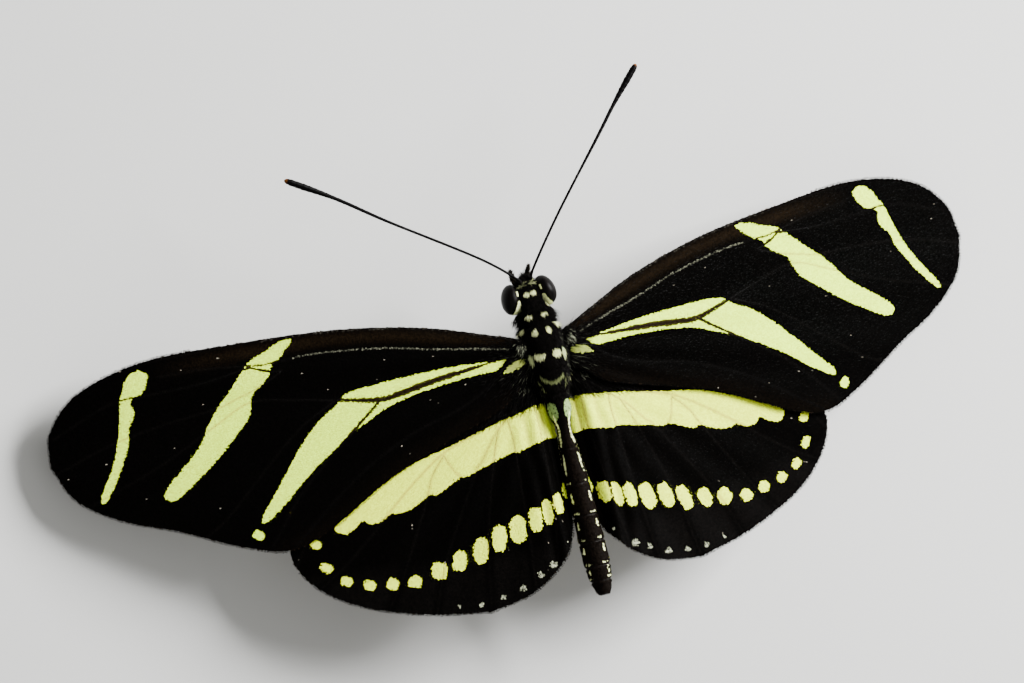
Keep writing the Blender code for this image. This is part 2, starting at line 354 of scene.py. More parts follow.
scale_finish = mottled("wing_scale", 0.004, 0.35, (0.72, 1.25), (0.42, 0.25), detail=3.0, share=0.35)
scale_finish.feed(Normal=scale_finish.bump(scale_finish.noise(0.02, 1.0), 0.002, 0.5))
membrane_finish = mottled("wing_membrane", 0.04, 0.12, (0.6, 1.2), (0.45, 0.25), relief=(0.01, 0.6))
vein_finish = mottled("wing_vein", 0.03, 0.1, (0.5, 1.4), (0.5, 0.2))
hair_finish = mottled("body_hair", 0.03, 0.15, (0.65, 1.3), (0.45, 0.3))
skin_finish = mottled("body_skin", 0.06, 0.06, (0.6, 1.2), (0.4, 0.3), detail=3.0, relief=(0.02, 0.7))
horn_finish = mottled("horn", 0.025, 0.05, (0.6, 1.3), (0.28, 0.25), share=0.35, relief=(0.008, 0.6))

# %% Finish of the eye
FACET = 0.036
# Lighter bands on the eyes are a painted sheen.
EYE_SHEEN_BAND = (0.0042, 0.0031, 0.0026, 1.0)
eye_finish = Finish("eye", Specular_IOR_Level=0.035, Coat_Weight=0.005, Coat_Roughness=0.15)
facets = eye_finish.node("ShaderNodeTexVoronoi", {"feature": "F1"},
                         {"Vector": eye_finish.place, "Scale": 1 / (FACET * MM), "Randomness": 0.35})
# Wavy lighter bands across the dark eye: a painted sheen.
bands = eye_finish.node("ShaderNodeTexWave", {"bands_direction": "X"},
                        {"Vector": eye_finish.place, "Scale": 520.0, "Distortion": 3.0, "Detail": 1.0})
eye_finish.feed(Base_Color=eye_finish.mix(0.5 * bands, eye_finish.paint(), EYE_SHEEN_BAND),
                Roughness=0.28 + 0.2 * facets,
                Normal=eye_finish.bump(1 - facets, 0.012, 0.35))
print("finishes:", [material.name for material in bpy.data.materials])

# %% [markdown]
# ## The height of a wing
#
# All four wings share one gently arched surface that droops outward. The real membrane isn't flat: it
# lies in shallow folds that fan out from the hinge between the veins, and the hindwing has deeper
# pleats beside the abdomen. A sine of the angle about the hinge gives the fan, and a sine
# across the inner strip gives the pleats.

# %% Wing surface
HINGES = {"fore": (-1.0, -0.5), "hind": (1.2, 0.6)}
FAN_FOLDS = {"fore": 36.0, "hind": 30.0}
FAN_DEPTH = 0.045
FAN_REACH = 14.0
PLEAT_DEPTH = 0.11
PLEATS = 3.6
PLEAT_WIDTH = 2.6
INNER_FOLD = 1.75
BEHIND_EDGE = 3.0
BEHIND_FADE = 2.0
WRAP_DROP = 0.75
WRAP_EDGE = 2.1
WRAP_WIDTH = 1.2
WRAP_MOST = 1.2
ROOT_DIP = 0.55
DIP_EDGE = 3.3
DIP_WIDTH = 1.6


def wing_height(x, y, wing):
    """Root height, less the droop, plus a parabola along the span, less a parabola fore and aft of the
    ridge, plus the folds. Wings dip at the root; the hindwing lies lower and turns down by the abdomen."""
    dip = ROOT_DIP * ramp(x, DIP_EDGE, -DIP_WIDTH)**2
    straight = WING_ROOT_HEIGHT - (x - WING_ROOT_X) * WING_DROOP - dip
    arch = WING_ARCH * 4 * (x / WING_REACH) * (1 - x / WING_REACH)
    camber = WING_CAMBER * (y - WING_RIDGE_Y)**2
    hinge_x, hinge_y = HINGES[wing]
    turn = np.arctan2(y - hinge_y, x - hinge_x)
    fan = FAN_DEPTH * ramp(np.hypot(x - hinge_x, y - hinge_y), 0, FAN_REACH)
    folds = fan * np.sin(FAN_FOLDS[wing] * turn)
    if wing == "fore":
        return straight + arch - camber + folds
    behind = ramp(y, BEHIND_EDGE, BEHIND_FADE)
    pleats = -PLEAT_DEPTH * np.cos(PLEATS * (x - INNER_FOLD)) * bell(x - INNER_FOLD, PLEAT_WIDTH) * behind
    wrap = WRAP_DROP * behind * np.clip((WRAP_EDGE - x) / WRAP_WIDTH, 0, WRAP_MOST)**2
    return straight + arch - camber - HINDWING_SINK + folds + pleats - wrap


def on_wing(x, y, wing, side):
    """World place of a plan point, with x outward and y toward the tail."""
    return np.stack([side * x, y + BODY_Y, wing_height(x, y, wing)], axis=-1)


def wing_frame(x, y, turn, wing, side):
    """At each plan point: the unit direction that heads outward by the angle turn, and the unit normal."""
    step = 0.05
    here = on_wing(x, y, wing, side)
    ahead = unit(on_wing(x + step * np.cos(turn), y + step * np.sin(turn), wing, side) - here)
    beside = unit(on_wing(x - step * np.sin(turn), y + step * np.cos(turn), wing, side) - here)
    return here, ahead, unit(np.cross(ahead, beside)) * side


# %% [markdown]
# ## Outlines, markings and veins
#
# The outline of each wing is a leading and a trailing curve, drawn in plan. The markings are closed
# curves in the same plan: three cream bands, a patch at the root and two spots on the forewing, and on
# the hindwing one broad band, a row of spots that grow toward the body, and small dots along the margin.

# %% Outlines in plan, x outward and y toward the tail
LINE_SAMPLES = 160
LEADING = {
    "fore": [(1.2, -1.1), (2.3, -1.7), (5.5, -3.0), (10.3, -4.8), (17.5, -6.5), (26.0, -7.5),
             (34.4, -8.0), (40.6, -6.7), (43.7, -4.0), (44.4, -1.0)],
    "hind": [(0.9, 0.2), (2.3, 0.4), (4.6, 1.0), (7.0, 1.8), (13.0, 3.2), (19.0, 5.8), (23.8, 8.6),
             (26.1, 11.6), (24.7, 14.9), (21.3, 17.6), (15.8, 19.8), (10.2, 21.0)]}
TRAILING = {
    "fore": [(1.2, 1.0), (2.3, 1.7), (3.8, 2.9), (5.7, 4.0), (10.7, 5.5), (16.0, 7.2), (22.0, 10.2),
             (26.0, 11.3), (30.0, 10.0), (35.2, 7.2), (39.6, 5.1), (43.0, 2.4), (44.4, -1.0)],
    "hind": [(0.8, 1.6), (0.7, 2.8), (0.6, 4.4), (0.45, 7.5), (0.6, 11.5), (1.05, 14.8), (1.95, 17.0),
             (3.9, 19.0), (6.6, 20.4), (10.2, 21.0)]}
outlines = {}
for wing, leading in LEADING.items():
    trailing = smooth_curve(TRAILING[wing], LINE_SAMPLES)
    outlines[wing] = np.vstack([smooth_curve(leading, LINE_SAMPLES), trailing[::-1]])
print("spans in mm:", {wing: round(float(np.ptp(outline[:, 0])), 1) for wing, outline in outlines.items()})

# %% Cream markings in plan
BANDS = {
    "fore": [
        [(34.35, -6.7), (34.9, -7.4), (35.9, -7.35), (36.6, -6.7), (36.95, -6.0), (37.35, -5.35),
         (37.6, -4.4), (38.15, -2.5), (38.8, -0.9), (39.6, 0.6), (40.45, 1.75), (41.1, 2.9),
         (40.95, 3.3), (40.5, 3.2), (39.55, 2.1), (38.6, 0.8), (37.45, -1.2), (37.05, -2.5),
         (36.2, -3.8), (36.35, -4.85), (35.1, -5.4)],
        [(21.45, -6.65), (22.2, -6.85), (23.1, -6.75), (24.2, -6.3), (25.9, -5.7), (26.8, -4.85),
         (28.0, -3.7), (29.4, -2.45), (30.6, -1.1), (31.6, 0.3), (33.25, 1.65), (35.0, 3.0),
         (35.75, 4.0), (34.7, 4.6), (32.2, 3.2), (30.3, 1.95), (28.3, 0.4), (26.8, -0.9), (26.3, -1.95),
         (26.0, -2.75), (25.0, -3.4), (24.15, -4.1), (23.8, -4.85), (23.0, -5.25)],
        [(3.65, -0.4), (4.6, -0.4), (5.6, -0.58), (6.8, -0.68), (8.5, -0.9), (12.0, -1.05),
         (16.0, -1.08), (18.1, -0.95), (18.9, -0.5), (19.6, 0.0), (20.9, 0.65), (22.5, 1.9), (23.9, 3.3),
         (25.7, 5.3), (28.0, 7.85), (27.8, 8.5), (27.1, 8.25), (25.3, 7.1), (23.5, 5.7), (20.8, 4.0),
         (18.4, 2.7), (17.0, 2.15), (15.4, 1.45), (13.5, 1.0), (11.2, 0.7), (7.8, 0.52), (5.4, 0.6),
         (4.9, 0.6), (4.1, 0.1)],
        [(2.2, 0.05), (2.75, -0.05), (3.5, 0.1), (4.15, 0.5), (4.45, 0.85), (4.2, 1.05), (3.35, 1.0),
         (2.7, 0.8), (2.2, 0.55)]],
    "hind": [
        [(0.4, 4.4), (4.7, 4.7), (7.3, 5.2), (11.1, 6.0), (14.1, 6.6), (17.0, 7.7), (19.5, 8.9),
         (21.5, 9.85), (22.05, 10.55), (21.2, 11.25), (20.2, 11.0), (19.3, 10.4), (19.0, 10.85),
         (17.8, 10.95), (16.7, 10.45), (16.3, 10.7), (14.9, 10.5), (13.1, 9.75), (12.8, 9.95),
         (11.6, 9.55), (10.2, 8.95), (9.6, 9.0), (8.2, 8.65), (5.2, 7.95), (4.7, 8.05), (2.1, 7.55),
         (0.3, 7.4)]]}
print("band outlines:", {wing: len(bands) for wing, bands in BANDS.items()})

# %% Spots: place in plan, half length along the rays from the hinge, and half width
SPOTS = {
    "fore": [(28.6, 9.3, 0.46, 0.56), (25.4, 8.1, 0.12, 0.12)],
    "hind": [(23.85, 11.35, 0.44, 0.6), (23.4, 13.6, 0.42, 0.62), (21.95, 15.2, 0.44, 0.58),
             (20.1, 16.05, 0.48, 0.57), (18.1, 16.45, 0.56, 0.6), (16.15, 16.75, 0.6, 0.62),
             (13.9, 16.35, 0.8, 0.74), (11.95, 15.98, 0.92, 0.65), (9.9, 15.55, 1.2, 0.68),
             (8.1, 14.9, 1.22, 0.68), (6.3, 14.55, 1.24, 0.78), (4.6, 14.08, 1.12, 0.6),
             (3.38, 13.7, 1.16, 0.52), (2.25, 13.25, 0.98, 0.55), (1.25, 12.3, 0.8, 0.22)]}
SPOT_CENTRE = (1.2, -14.0)
DOTS = [(2.3, 16.65, 0.12), (4.0, 18.3, 0.36), (5.3, 18.95, 0.3), (7.05, 19.7, 0.3), (8.95, 20.05, 0.28),
        (11.0, 20.15, 0.24), (12.9, 19.85, 0.16)]
CRIMSON = {"fore": [(3.6, -0.9, 0.42), (4.9, 1.9, 0.3)],
           "hind": [(3.3, 2.4, 0.42), (4.7, 3.4, 0.4), (3.0, 4.0, 0.35)]}
SQUARENESS = 0.72
print("spots:", {wing: len(spots) for wing, spots in SPOTS.items()}, "and dots:", len(DOTS))


def spot_outline(x, y, length, width):
    """An ellipse with square shoulders, turned so that its length follows the rays from a far centre."""
    turn = math.atan2(y - SPOT_CENTRE[1], x - SPOT_CENTRE[0])
    angle = np.linspace(0, 2 * np.pi, 49)[:-1]
    along = length * np.sign(np.cos(angle)) * np.abs(np.cos(angle))**SQUARENESS
    across = width * np.sign(np.sin(angle)) * np.abs(np.sin(angle))**SQUARENESS
    return np.stack([x + along * math.cos(turn) - across * math.sin(turn),
                     y + along * math.sin(turn) + across * math.cos(turn)], axis=1)


def drawn_in(outline, margin):
    """A closed outline with each point moved inward, square to the line through its neighbours."""
    heading = unit(np.roll(outline, -1, axis=0) - np.roll(outline, 1, axis=0))
    x, y = outline.T
    turning = np.sign((x * np.roll(y, -1) - y * np.roll(x, -1)).sum())
    return outline + turning * margin * np.stack([-heading[:, 1], heading[:, 0]], axis=1)


# %% Markings, drawn in by as much as the scales spread them
SCALE_SPREAD = 0.1
BAND_SAMPLES = 200
marks = {}
for wing, bands in BANDS.items():
    curves = [smooth_curve(band, BAND_SAMPLES, closed=True)[:-1] for band in bands]
    marks[wing] = [drawn_in(curve, SCALE_SPREAD) for curve in curves]
    marks[wing] += [drawn_in(spot_outline(*spot), 0.5 * SCALE_SPREAD) for spot in SPOTS[wing]]
print("markings:", {wing: len(drawn) for wing, drawn in marks.items()})

# %% Veins in plan, from the root outward
VEINS = {
    "fore": {
        "costa": [(1.6, -1.2), (2.3, -1.62), (5.5, -2.92), (10.3, -4.72), (17.5, -6.42), (26.0, -7.42),
                  (34.0, -7.92)],
        "subcosta": [(2.2, -0.6), (5.0, -1.5), (10.1, -2.8), (13.5, -3.8), (16.9, -4.5), (20.3, -5.0),
                     (22.9, -5.1), (24.6, -5.15), (26.2, -5.45)],
        "subcosta_end": [(26.2, -5.45), (30.0, -6.1), (33.5, -6.4)],
        "radius": [(23.2, -4.2), (24.0, -4.4), (24.9, -4.75), (26.0, -5.3)],
        "radius_outer": [(25.8, -5.2), (29.5, -4.9), (34.0, -5.0), (37.4, -5.2), (40.0, -4.6),
                         (43.4, -3.4)],
        "media": [(23.2, -4.2), (24.3, -3.7), (25.8, -3.2), (27.5, -2.8), (29.4, -2.4), (34.0, -2.2),
                  (39.0, -1.6), (44.0, -0.3)],
        "cubitus": [(2.2, -0.1), (4.0, -0.32), (5.6, -0.32), (7.3, -0.2), (10.0, -0.06), (13.1, 0.25),
                    (15.4, 0.4), (19.0, -0.45)],
        "media_lower": [(19.0, -0.45), (22.5, -1.4), (26.4, -2.2), (30.0, -0.9), (35.5, 1.3), (42.0, 3.2)],
        "cubitus_branch": [(19.4, -0.45), (23.0, 1.2), (27.5, 4.6), (31.0, 7.3), (33.1, 8.4)],
        "cubitus_fork": [(15.4, 0.4), (18.1, 2.3), (21.3, 4.5), (24.3, 6.9), (27.6, 10.6)],
        "anal": [(2.0, -0.9), (2.9, -0.65), (3.6, -0.1), (4.4, 0.5), (5.2, 1.2), (6.3, 1.9), (7.7, 2.55),
                 (9.6, 3.15), (13.6, 4.1), (19.0, 6.5), (25.6, 11.0)]},
    "hind": {
        "costa": [(1.4, 1.5), (6.0, 2.4), (12.0, 4.1), (18.5, 7.2), (23.5, 10.0), (25.7, 12.6)],
        "radius": [(1.6, 1.7), (4.85, 3.9), (8.0, 5.4), (11.1, 6.4), (14.1, 8.2), (16.7, 10.1),
                   (21.0, 13.4), (24.2, 15.3)],
        "media_upper": [(11.1, 6.6), (12.5, 8.1), (13.6, 10.2), (17.15, 16.2), (18.9, 18.6)],
        "media_lower": [(1.6, 1.9), (4.9, 4.8), (6.5, 6.2), (8.0, 8.0), (8.8, 8.9), (13.05, 15.6),
                        (14.9, 19.9)],
        "cell_end": [(11.1, 6.6), (10.4, 8.4), (9.3, 9.4)],
        "cubitus_upper": [(5.9, 5.6), (7.0, 8.3), (9.05, 14.8), (10.2, 20.8)],
        "cubitus_lower": [(4.9, 4.8), (4.8, 6.4), (4.9, 8.0), (5.35, 14.2), (6.0, 20.2)],
        "anal": [(1.9, 2.6), (2.25, 4.6), (2.3, 7.6), (2.75, 13.2), (3.4, 18.0)]}}
vein_lines = {}
for wing, veins in VEINS.items():
    vein_lines[wing] = {name: smooth_curve(line, LINE_SAMPLES) for name, line in veins.items()}
print("veins:", {wing: len(lines) for wing, lines in vein_lines.items()})

# %% Dark veins: half widths at even places from root to tip
THIN = (0.13, 0.13, 0.11, 0.06)
DARK_VEINS = {"fore": {"subcosta": THIN, "radius": THIN, "radius_outer": (0.1, 0.1, 0.08, 0.05),
                       "cubitus": (0.02, 0.08, 0.24, 0.27, 0.24, 0.15), "cubitus_fork": THIN,
                       "anal": (0.14, 0.14, 0.12, 0.06)},
              "hind": {}}
print("dark veins:", {wing: len(veins) for wing, veins in DARK_VEINS.items()})

# %% [markdown]
# ## Which colour is a point of the wing?
#
# Two measures answer this. A point is inside a closed outline if a ray from it crosses the outline an odd
# number of times, and its distance from a vein comes from the nearest sample of that vein. Both work
# on all points at once. The colours are linear light values.

# %% Inside an outline, and distance from a line
def inside(outline, x, y):
    """True where a ray from the point toward +x crosses the closed outline an odd number of times."""
    low, high = outline.min(axis=0), outline.max(axis=0)
    near = (x > low[0]) & (x < high[0]) & (y > low[1]) & (y < high[1])
    px, py = x[near, None], y[near, None]
    ax, ay = outline.T
    bx, by = np.roll(outline, -1, axis=0).T
    rise = np.where(by == ay, 1e-9, by - ay)
    crossed = ((ay > py) != (by > py)) & (px < ax + (py - ay) * (bx - ax) / rise)
    result = np.zeros(len(x), bool)
    result[near] = crossed.sum(axis=1) % 2 == 1
    return result


def distance(line, x, y):
    """From the nearest sample of the line: the part of the offset that is square to the line there,
    with what reaches past the sample's own stretch."""
    offset_x, offset_y = x[:, None] - line[:, 0], y[:, None] - line[:, 1]
    nearest = np.argmin(offset_x**2 + offset_y**2, axis=1)
    heading = unit(np.gradient(line, axis=0))[nearest]
    rows = np.arange(len(x))
    along = offset_x[rows, nearest] * heading[:, 0] + offset_y[rows, nearest] * heading[:, 1]
    square = offset_x[rows, nearest] * heading[:, 1] - offset_y[rows, nearest] * heading[:, 0]
    stretch = np.linalg.norm(line[1] - line[0])
    return np.hypot(square, np.clip(np.abs(along) - stretch, 0, None))


# %% Colours of the wings
CREAM = np.array([0.67, 0.93, 0.04])
CREAM_TINT = {"fore": 1.0, "hind": np.array([1.13, 0.97, 0.8])}
OCHRE = np.array([0.45, 0.44, 0.06])
TAN = np.array([0.36, 0.28, 0.06])
BLACK = np.array([0.00045, 0.00034, 0.00026])
BROWN = np.array([0.010, 0.0062, 0.0030])
ASH = np.array([0.0035, 0.003, 0.0027])
FLECK = np.array([0.42, 0.38, 0.30])
ROOT_OLIVE = 0.34 * OCHRE + [0, 0, 0.04]
STRIPE_EDGE = 0.16 * OCHRE
# Pale scales along the forewing's subcosta, with a painted highlight of the vein's gloss.
DUST_AND_HIGHLIGHT = 0.9 * FLECK + [0, 0.04, 0]
DOT_PALE = 0.8 * FLECK + [0, 0.05, 0]
UNDER_CREAM = np.array([0.78, 0.76, 0.46])
UNDER_BLACK = np.array([0.030, 0.019, 0.012])
UNDER_RED = np.array([0.36, 0.015, 0.02])


def blend(base, top, amount):
    """base where amount is 0 and top where it is 1, for each point."""
    return base + (top - base) * amount[:, None]


# %% The black ground
STRIP_MIDDLE = 0.55
STRIP_WIDTH = 0.28
STRIP_END = 34
STRIP_FADE = 8
# The brown of these two strips is partly the scales' brown tint and partly a painted sheen.
STRIP_BROWN_AND_SHEEN = 0.45
REAR_WIDTH = 1.1
REAR_BROWN_AND_SHEEN = 0.08
# Pale specks along the forewing's costa are painted glints of its scales.
GLINT_REACH = 0.1
GLINT_END = 25
GLINT_CHANCE = 0.25
GLINT_PALE = 0.06 * FLECK
MARGIN_START = 16.6
MARGIN_FADE = 1.5
MARGIN_SLANT = 0.12
ASH_SHARE = 0.3
ASH_REACH = 0.2


def black_ground(x, y, wing, vein, under):
    """Black, greyer along the veins. The forewing is browner, a brown tint with a painted sheen, in a strip
    behind its front edge and along its rear edge, and its front edge has pale specks that are painted glints;
    the hindwing is greyer toward its margin."""
    dark = UNDER_BLACK if under else BLACK
    if wing == "fore":
        subcosta, front = vein_lines[wing]["subcosta"], outlines[wing][:LINE_SAMPLES]
        inner = np.interp(x, subcosta[:, 0], subcosta[:, 1])
        share = (inner - y) / (inner - np.interp(x, front[:, 0], front[:, 1]) + 0.05)
        strip = bell(share - STRIP_MIDDLE, STRIP_WIDTH) * ramp(x, STRIP_END, -STRIP_FADE)
        rear = bell(distance(smooth_curve(TRAILING[wing][2:8], 80), x, y), REAR_WIDTH)
        # Browner strips along the front and rear edges: brown tint with a painted sheen.
        dark = blend(dark, BROWN, np.clip(STRIP_BROWN_AND_SHEEN * strip + REAR_BROWN_AND_SHEEN * rear, 0, 1))
        # Painted glints: pale specks on the scales along the costa.
        edge = (distance(vein_lines[wing]["costa"], x, y) < GLINT_REACH) & (x < GLINT_END)
        dark[edge & (dice.random(len(x)) < GLINT_CHANCE)] = GLINT_PALE
    else:
        outer = ramp(y + MARGIN_SLANT * x, MARGIN_START, MARGIN_FADE)
        dark = blend(dark, ASH, ASH_SHARE * outer * np.clip(vein / 0.5 - 0.3, 0, 1))
    return blend(dark, ASH, ASH_SHARE * np.clip(1 - vein / ASH_REACH, 0, 1))


# %% The cream ground
OLIVE_CENTRE = (3.2, 0.5)
OLIVE_SHARE = 0.82
VEIN_TINT_REACH = 0.15
VEIN_OCHRE = 0.7
VEIN_TAN = 0.55
# Painted shade: ochre in the troughs of the hindwing's pleats beside the body.
FOLD_SHADE_REACH = 2.2
FOLD_SHADE_OCHRE = 0.62


def cream_ground(x, y, wing, vein, under):
    """Cream, ochre along the forewing's veins and tan along the hindwing's. The forewing's root is olive,
    and the troughs of the hindwing's folds beside the body get a painted ochre shade."""
    light = (UNDER_CREAM if under else CREAM) * CREAM_TINT[wing]
    if wing == "fore":
        away = np.hypot(x - OLIVE_CENTRE[0], 1.3 * (y - OLIVE_CENTRE[1]))
        light = blend(light, ROOT_OLIVE, OLIVE_SHARE * np.clip(2.4 - 1.6 * away, 0, 1))
        return blend(light, OCHRE, VEIN_OCHRE * np.clip(1 - vein / VEIN_TINT_REACH, 0, 1))
    light = blend(light, TAN, VEIN_TAN * np.clip(1.3 - vein / VEIN_TINT_REACH, 0, 1))
    # Painted shade in the troughs of the pleats, where the cosine is positive and the wing dips.
    fold_shade = np.clip(np.cos(PLEATS * (x - INNER_FOLD)), 0, 1)**3 * bell(x - INNER_FOLD, FOLD_SHADE_REACH)
    return blend(light, OCHRE, FOLD_SHADE_OCHRE * fold_shade)


# %% What lies over both grounds
DUST_AND_HIGHLIGHT_REACH = 0.07
DUST_AND_HIGHLIGHT_START = 3.4
DUST_AND_HIGHLIGHT_END = 22
DUST_AND_HIGHLIGHT_CHANCE = 0.9
DUST_AND_HIGHLIGHT_TONES = (0.04, 0.36)
DOT_CHANCE = 0.8
DOT_TONES = (0.3, 1.2)


def add_dark_veins(colours, x, y, wing, cream):
    """Brown stripes with ochre edges where a dark vein crosses cream, and ash where it crosses black."""
    for name, half_widths in DARK_VEINS[wing].items():
        line = vein_lines[wing][name]
        stations = np.linspace(line[0, 0], line[-1, 0], len(half_widths))
        share = distance(line, x, y) / np.interp(x, stations, half_widths)
        edged = blend(BROWN, STRIPE_EDGE, np.clip(share, 0, 1)**3) * cream[:, None]
        stripe = share < 1
        tone = np.maximum(edged, 0.5 * ASH)[stripe]
        colours[stripe] = tone * dice.uniform(0.3, 1.0, (stripe.sum(), 1))


def add_dust_highlight_and_dots(colours, x, y, wing, shift_x, shift_y):
    """On the forewing pale scales along the subcosta, with a painted highlight of its gloss over them, and on
    the hindwing the small dots of the margin.
    """
    if wing == "fore":
        # Pale scales along the subcosta, partly a painted highlight of the glossy vein.
        dusted_and_lit = distance(vein_lines[wing]["subcosta"], x, y) < DUST_AND_HIGHLIGHT_REACH
        dusted_and_lit &= (x > DUST_AND_HIGHLIGHT_START) & (x < DUST_AND_HIGHLIGHT_END) & (dice.random(len(x)) < DUST_AND_HIGHLIGHT_CHANCE)
        colours[dusted_and_lit] = DUST_AND_HIGHLIGHT * dice.uniform(*DUST_AND_HIGHLIGHT_TONES, (dusted_and_lit.sum(), 1))**1.3
        return
    for dot_x, dot_y, radius in DOTS:
        dotted = np.hypot(x - dot_x + shift_x, 1.2 * (y - dot_y + shift_y)) < radius
        dotted &= dice.random(len(x)) < DOT_CHANCE
        colours[dotted] = DOT_PALE * dice.uniform(*DOT_TONES, (dotted.sum(), 1))


# %% Paint of a wing
LOOSE_ROOT = (3.4, 0.8)
LOOSE_AT_ROOT = 3
LOOSE_ROW_START = 12
LOOSE_IN_ROW = 1.3
DARK_TONES = (0.55, 1.6)
LIGHT_TONES = (0.86, 1.1)


def wing_paint(x, y, wing, under, ragged):
    """Cream inside the markings and black outside. Ragged shifts the test of each point a little, and
    more at the forewing's root and in the hindwing's row of spots."""
    if wing == "fore":
        loose = 1 + LOOSE_AT_ROOT * bell(np.hypot(x - LOOSE_ROOT[0], y - LOOSE_ROOT[1]), 1.0)
    else:
        loose = 1 + LOOSE_IN_ROW * (y > LOOSE_ROW_START)
    shift_x, shift_y = dice.normal(0, ragged, (2, len(x))) * loose
    cream = np.any([inside(mark, x + shift_x, y + shift_y) for mark in marks[wing]], axis=0)
    vein = np.min([distance(line, x, y) for line in vein_lines[wing].values()], axis=0)
    dark = black_ground(x, y, wing, vein, under)
    dark *= dice.uniform(*DARK_TONES, (len(x), 1))
    light = cream_ground(x, y, wing, vein, under) * dice.uniform(*LIGHT_TONES, (len(x), 1))
    colours = np.where(cream[:, None], light, dark)
    add_dark_veins(colours, x, y, wing, cream)
    add_dust_highlight_and_dots(colours, x, y, wing, shift_x, shift_y)
    if under:
        for spot_x, spot_y, radius in CRIMSON[wing]:
            colours[np.hypot(x - spot_x, y - spot_y) < radius] = UNDER_RED
    return colours


# %% [markdown]
# ## Membranes and veins
#
# Each wing starts as a closed skin eight hundredths of a millimetre thick. A grid runs from the leading to
# the trailing edge over the top and back beneath. The veins are thin tubes half sunk in it,
# so that they show on both faces, and they hold the same colours as the membrane round them.

# %% Membranes
MEMBRANE_HALF = 0.04
SPAN_ROWS = 170
CHORD_STEPS = 50
PAINT_STEP = 0.15


def membrane(wing, side):
    """With q once round: chord share (1 - cos q) / 2 from leading to trailing, and height half sin q.
    The colour is the darker of two places close by, so that cream stays inside the markings."""
    leading = smooth_curve(LEADING[wing], SPAN_ROWS + 1)
    trailing = smooth_curve(TRAILING[wing], SPAN_ROWS + 1)
    turn = np.linspace(0, 2 * np.pi, 2 * CHORD_STEPS, endpoint=False)
    share = 0.5 - 0.5 * np.cos(turn)[None, :, None]
    plan = (leading[:-1, None] * (1 - share) + trailing[:-1, None] * share).reshape(-1, 2)
    x, y = np.vstack([plan, (leading[0] + trailing[0]) / 2, leading[-1]]).T
    points = on_wing(x, y, wing, side)
    points[:-2, 2] += np.tile(MEMBRANE_HALF * np.sin(turn), SPAN_ROWS)
    paint = np.minimum(wing_paint(x + PAINT_STEP, y - PAINT_STEP, wing, False, 0),
                       wing_paint(x - PAINT_STEP, y + PAINT_STEP, wing, False, 0))
    return new_shape(points, sleeve_faces(SPAN_ROWS, 2 * CHORD_STEPS), paint)


for wing, side_name, side in WINGS:
    name = f"{wing}wing_{side_name}"
    show_piece(name + "_membrane", membrane(wing, side), membrane_finish, [name])

# %% Veins
VEIN_ROOT_RADIUS = 0.08
VEIN_TIP_RADIUS = 0.04
VEIN_SIDES = 7
VEIN_IN_CREAM = np.array([0.22, 0.25, 0.04])
VEIN_IN_BLACK = np.array([0.0013, 0.0012, 0.0011])


def vein(name, wing, side):
    """A tube that thins along its length. Where it crosses a marking it is pale, unless it is a dark vein."""
    x, y = vein_lines[wing][name][::2].T
    cream = np.any([inside(mark, x, y) for mark in marks[wing]], axis=0) & (name not in DARK_VEINS[wing])
    colours = np.where(cream[:, None], VEIN_IN_CREAM, VEIN_IN_BLACK)
    radius = np.linspace(VEIN_ROOT_RADIUS, VEIN_TIP_RADIUS, len(x))
    return tube(on_wing(x, y, wing, side), radius, VEIN_SIDES, colours)


for wing, side_name, side in WINGS:
    shape = joined([vein(name, wing, side) for name in vein_lines[wing]])
    show_piece(f"{wing}wing_{side_name}_veins", shape, vein_finish)

# %% [markdown]
# ## Scales in rows
#
# A butterfly's scales lie like roof tiles, in rows across the wing, each rooted under the row before it
# and pointing to the margin. The rows here are arcs about the hinge. A scale is a closed wedge with four
# corners: a root that the next row hides, two corners at its broad tip and one beneath. With four
# triangles each we can lay some forty-five thousand of them on a forewing, not much coarser than life.

# %% One shape for many scales
SCALE_CORNERS = np.array([(0.5, 0.0), (1.0, 1.0), (0.0, 1.0), (0.5, 0.75)])
SCALE_RISE = np.array([-0.25, 1.0, 1.0, 0.1])
SCALE_FACES = np.array([(0, 1, 2), (0, 2, 3), (0, 3, 1), (2, 1, 3)])
PATCH = 0.003


def scales(root, along, out, length, width, lift, colours, place):
    """Corners: root + share of length along + share of width across + share of lift outward. Each size
    is a number for each scale, or one for all of them."""
    length, width, lift = (np.broadcast_to(size, len(root))[:, None, None] for size in (length, width, lift))
    across = np.cross(along, out)
    points = root[:, None] + SCALE_CORNERS[:, 1:] * length * along[:, None]
    points = points + (0.5 - SCALE_CORNERS[:, :1]) * width * across[:, None]
    points = points + SCALE_RISE[:, None] * lift * out[:, None]
    faces = (np.arange(len(root))[:, None, None] * 4 + SCALE_FACES).reshape(-1, 3)
    patch = place[:, None] + PATCH * (SCALE_CORNERS - 0.5)
    return new_shape(points.reshape(-1, 3), [faces], np.repeat(colours, 4, axis=0), patch.reshape(-1, 2))


# %% Rows of roots
FIRST_ROW = 0.6


def numbered(counts):
    """For rows with these counts of roots: each root's row, and its number in that row."""
    row = np.repeat(np.arange(len(counts)), counts)
    return row, np.arange(counts.sum()) - np.repeat(np.cumsum(counts) - counts, counts)


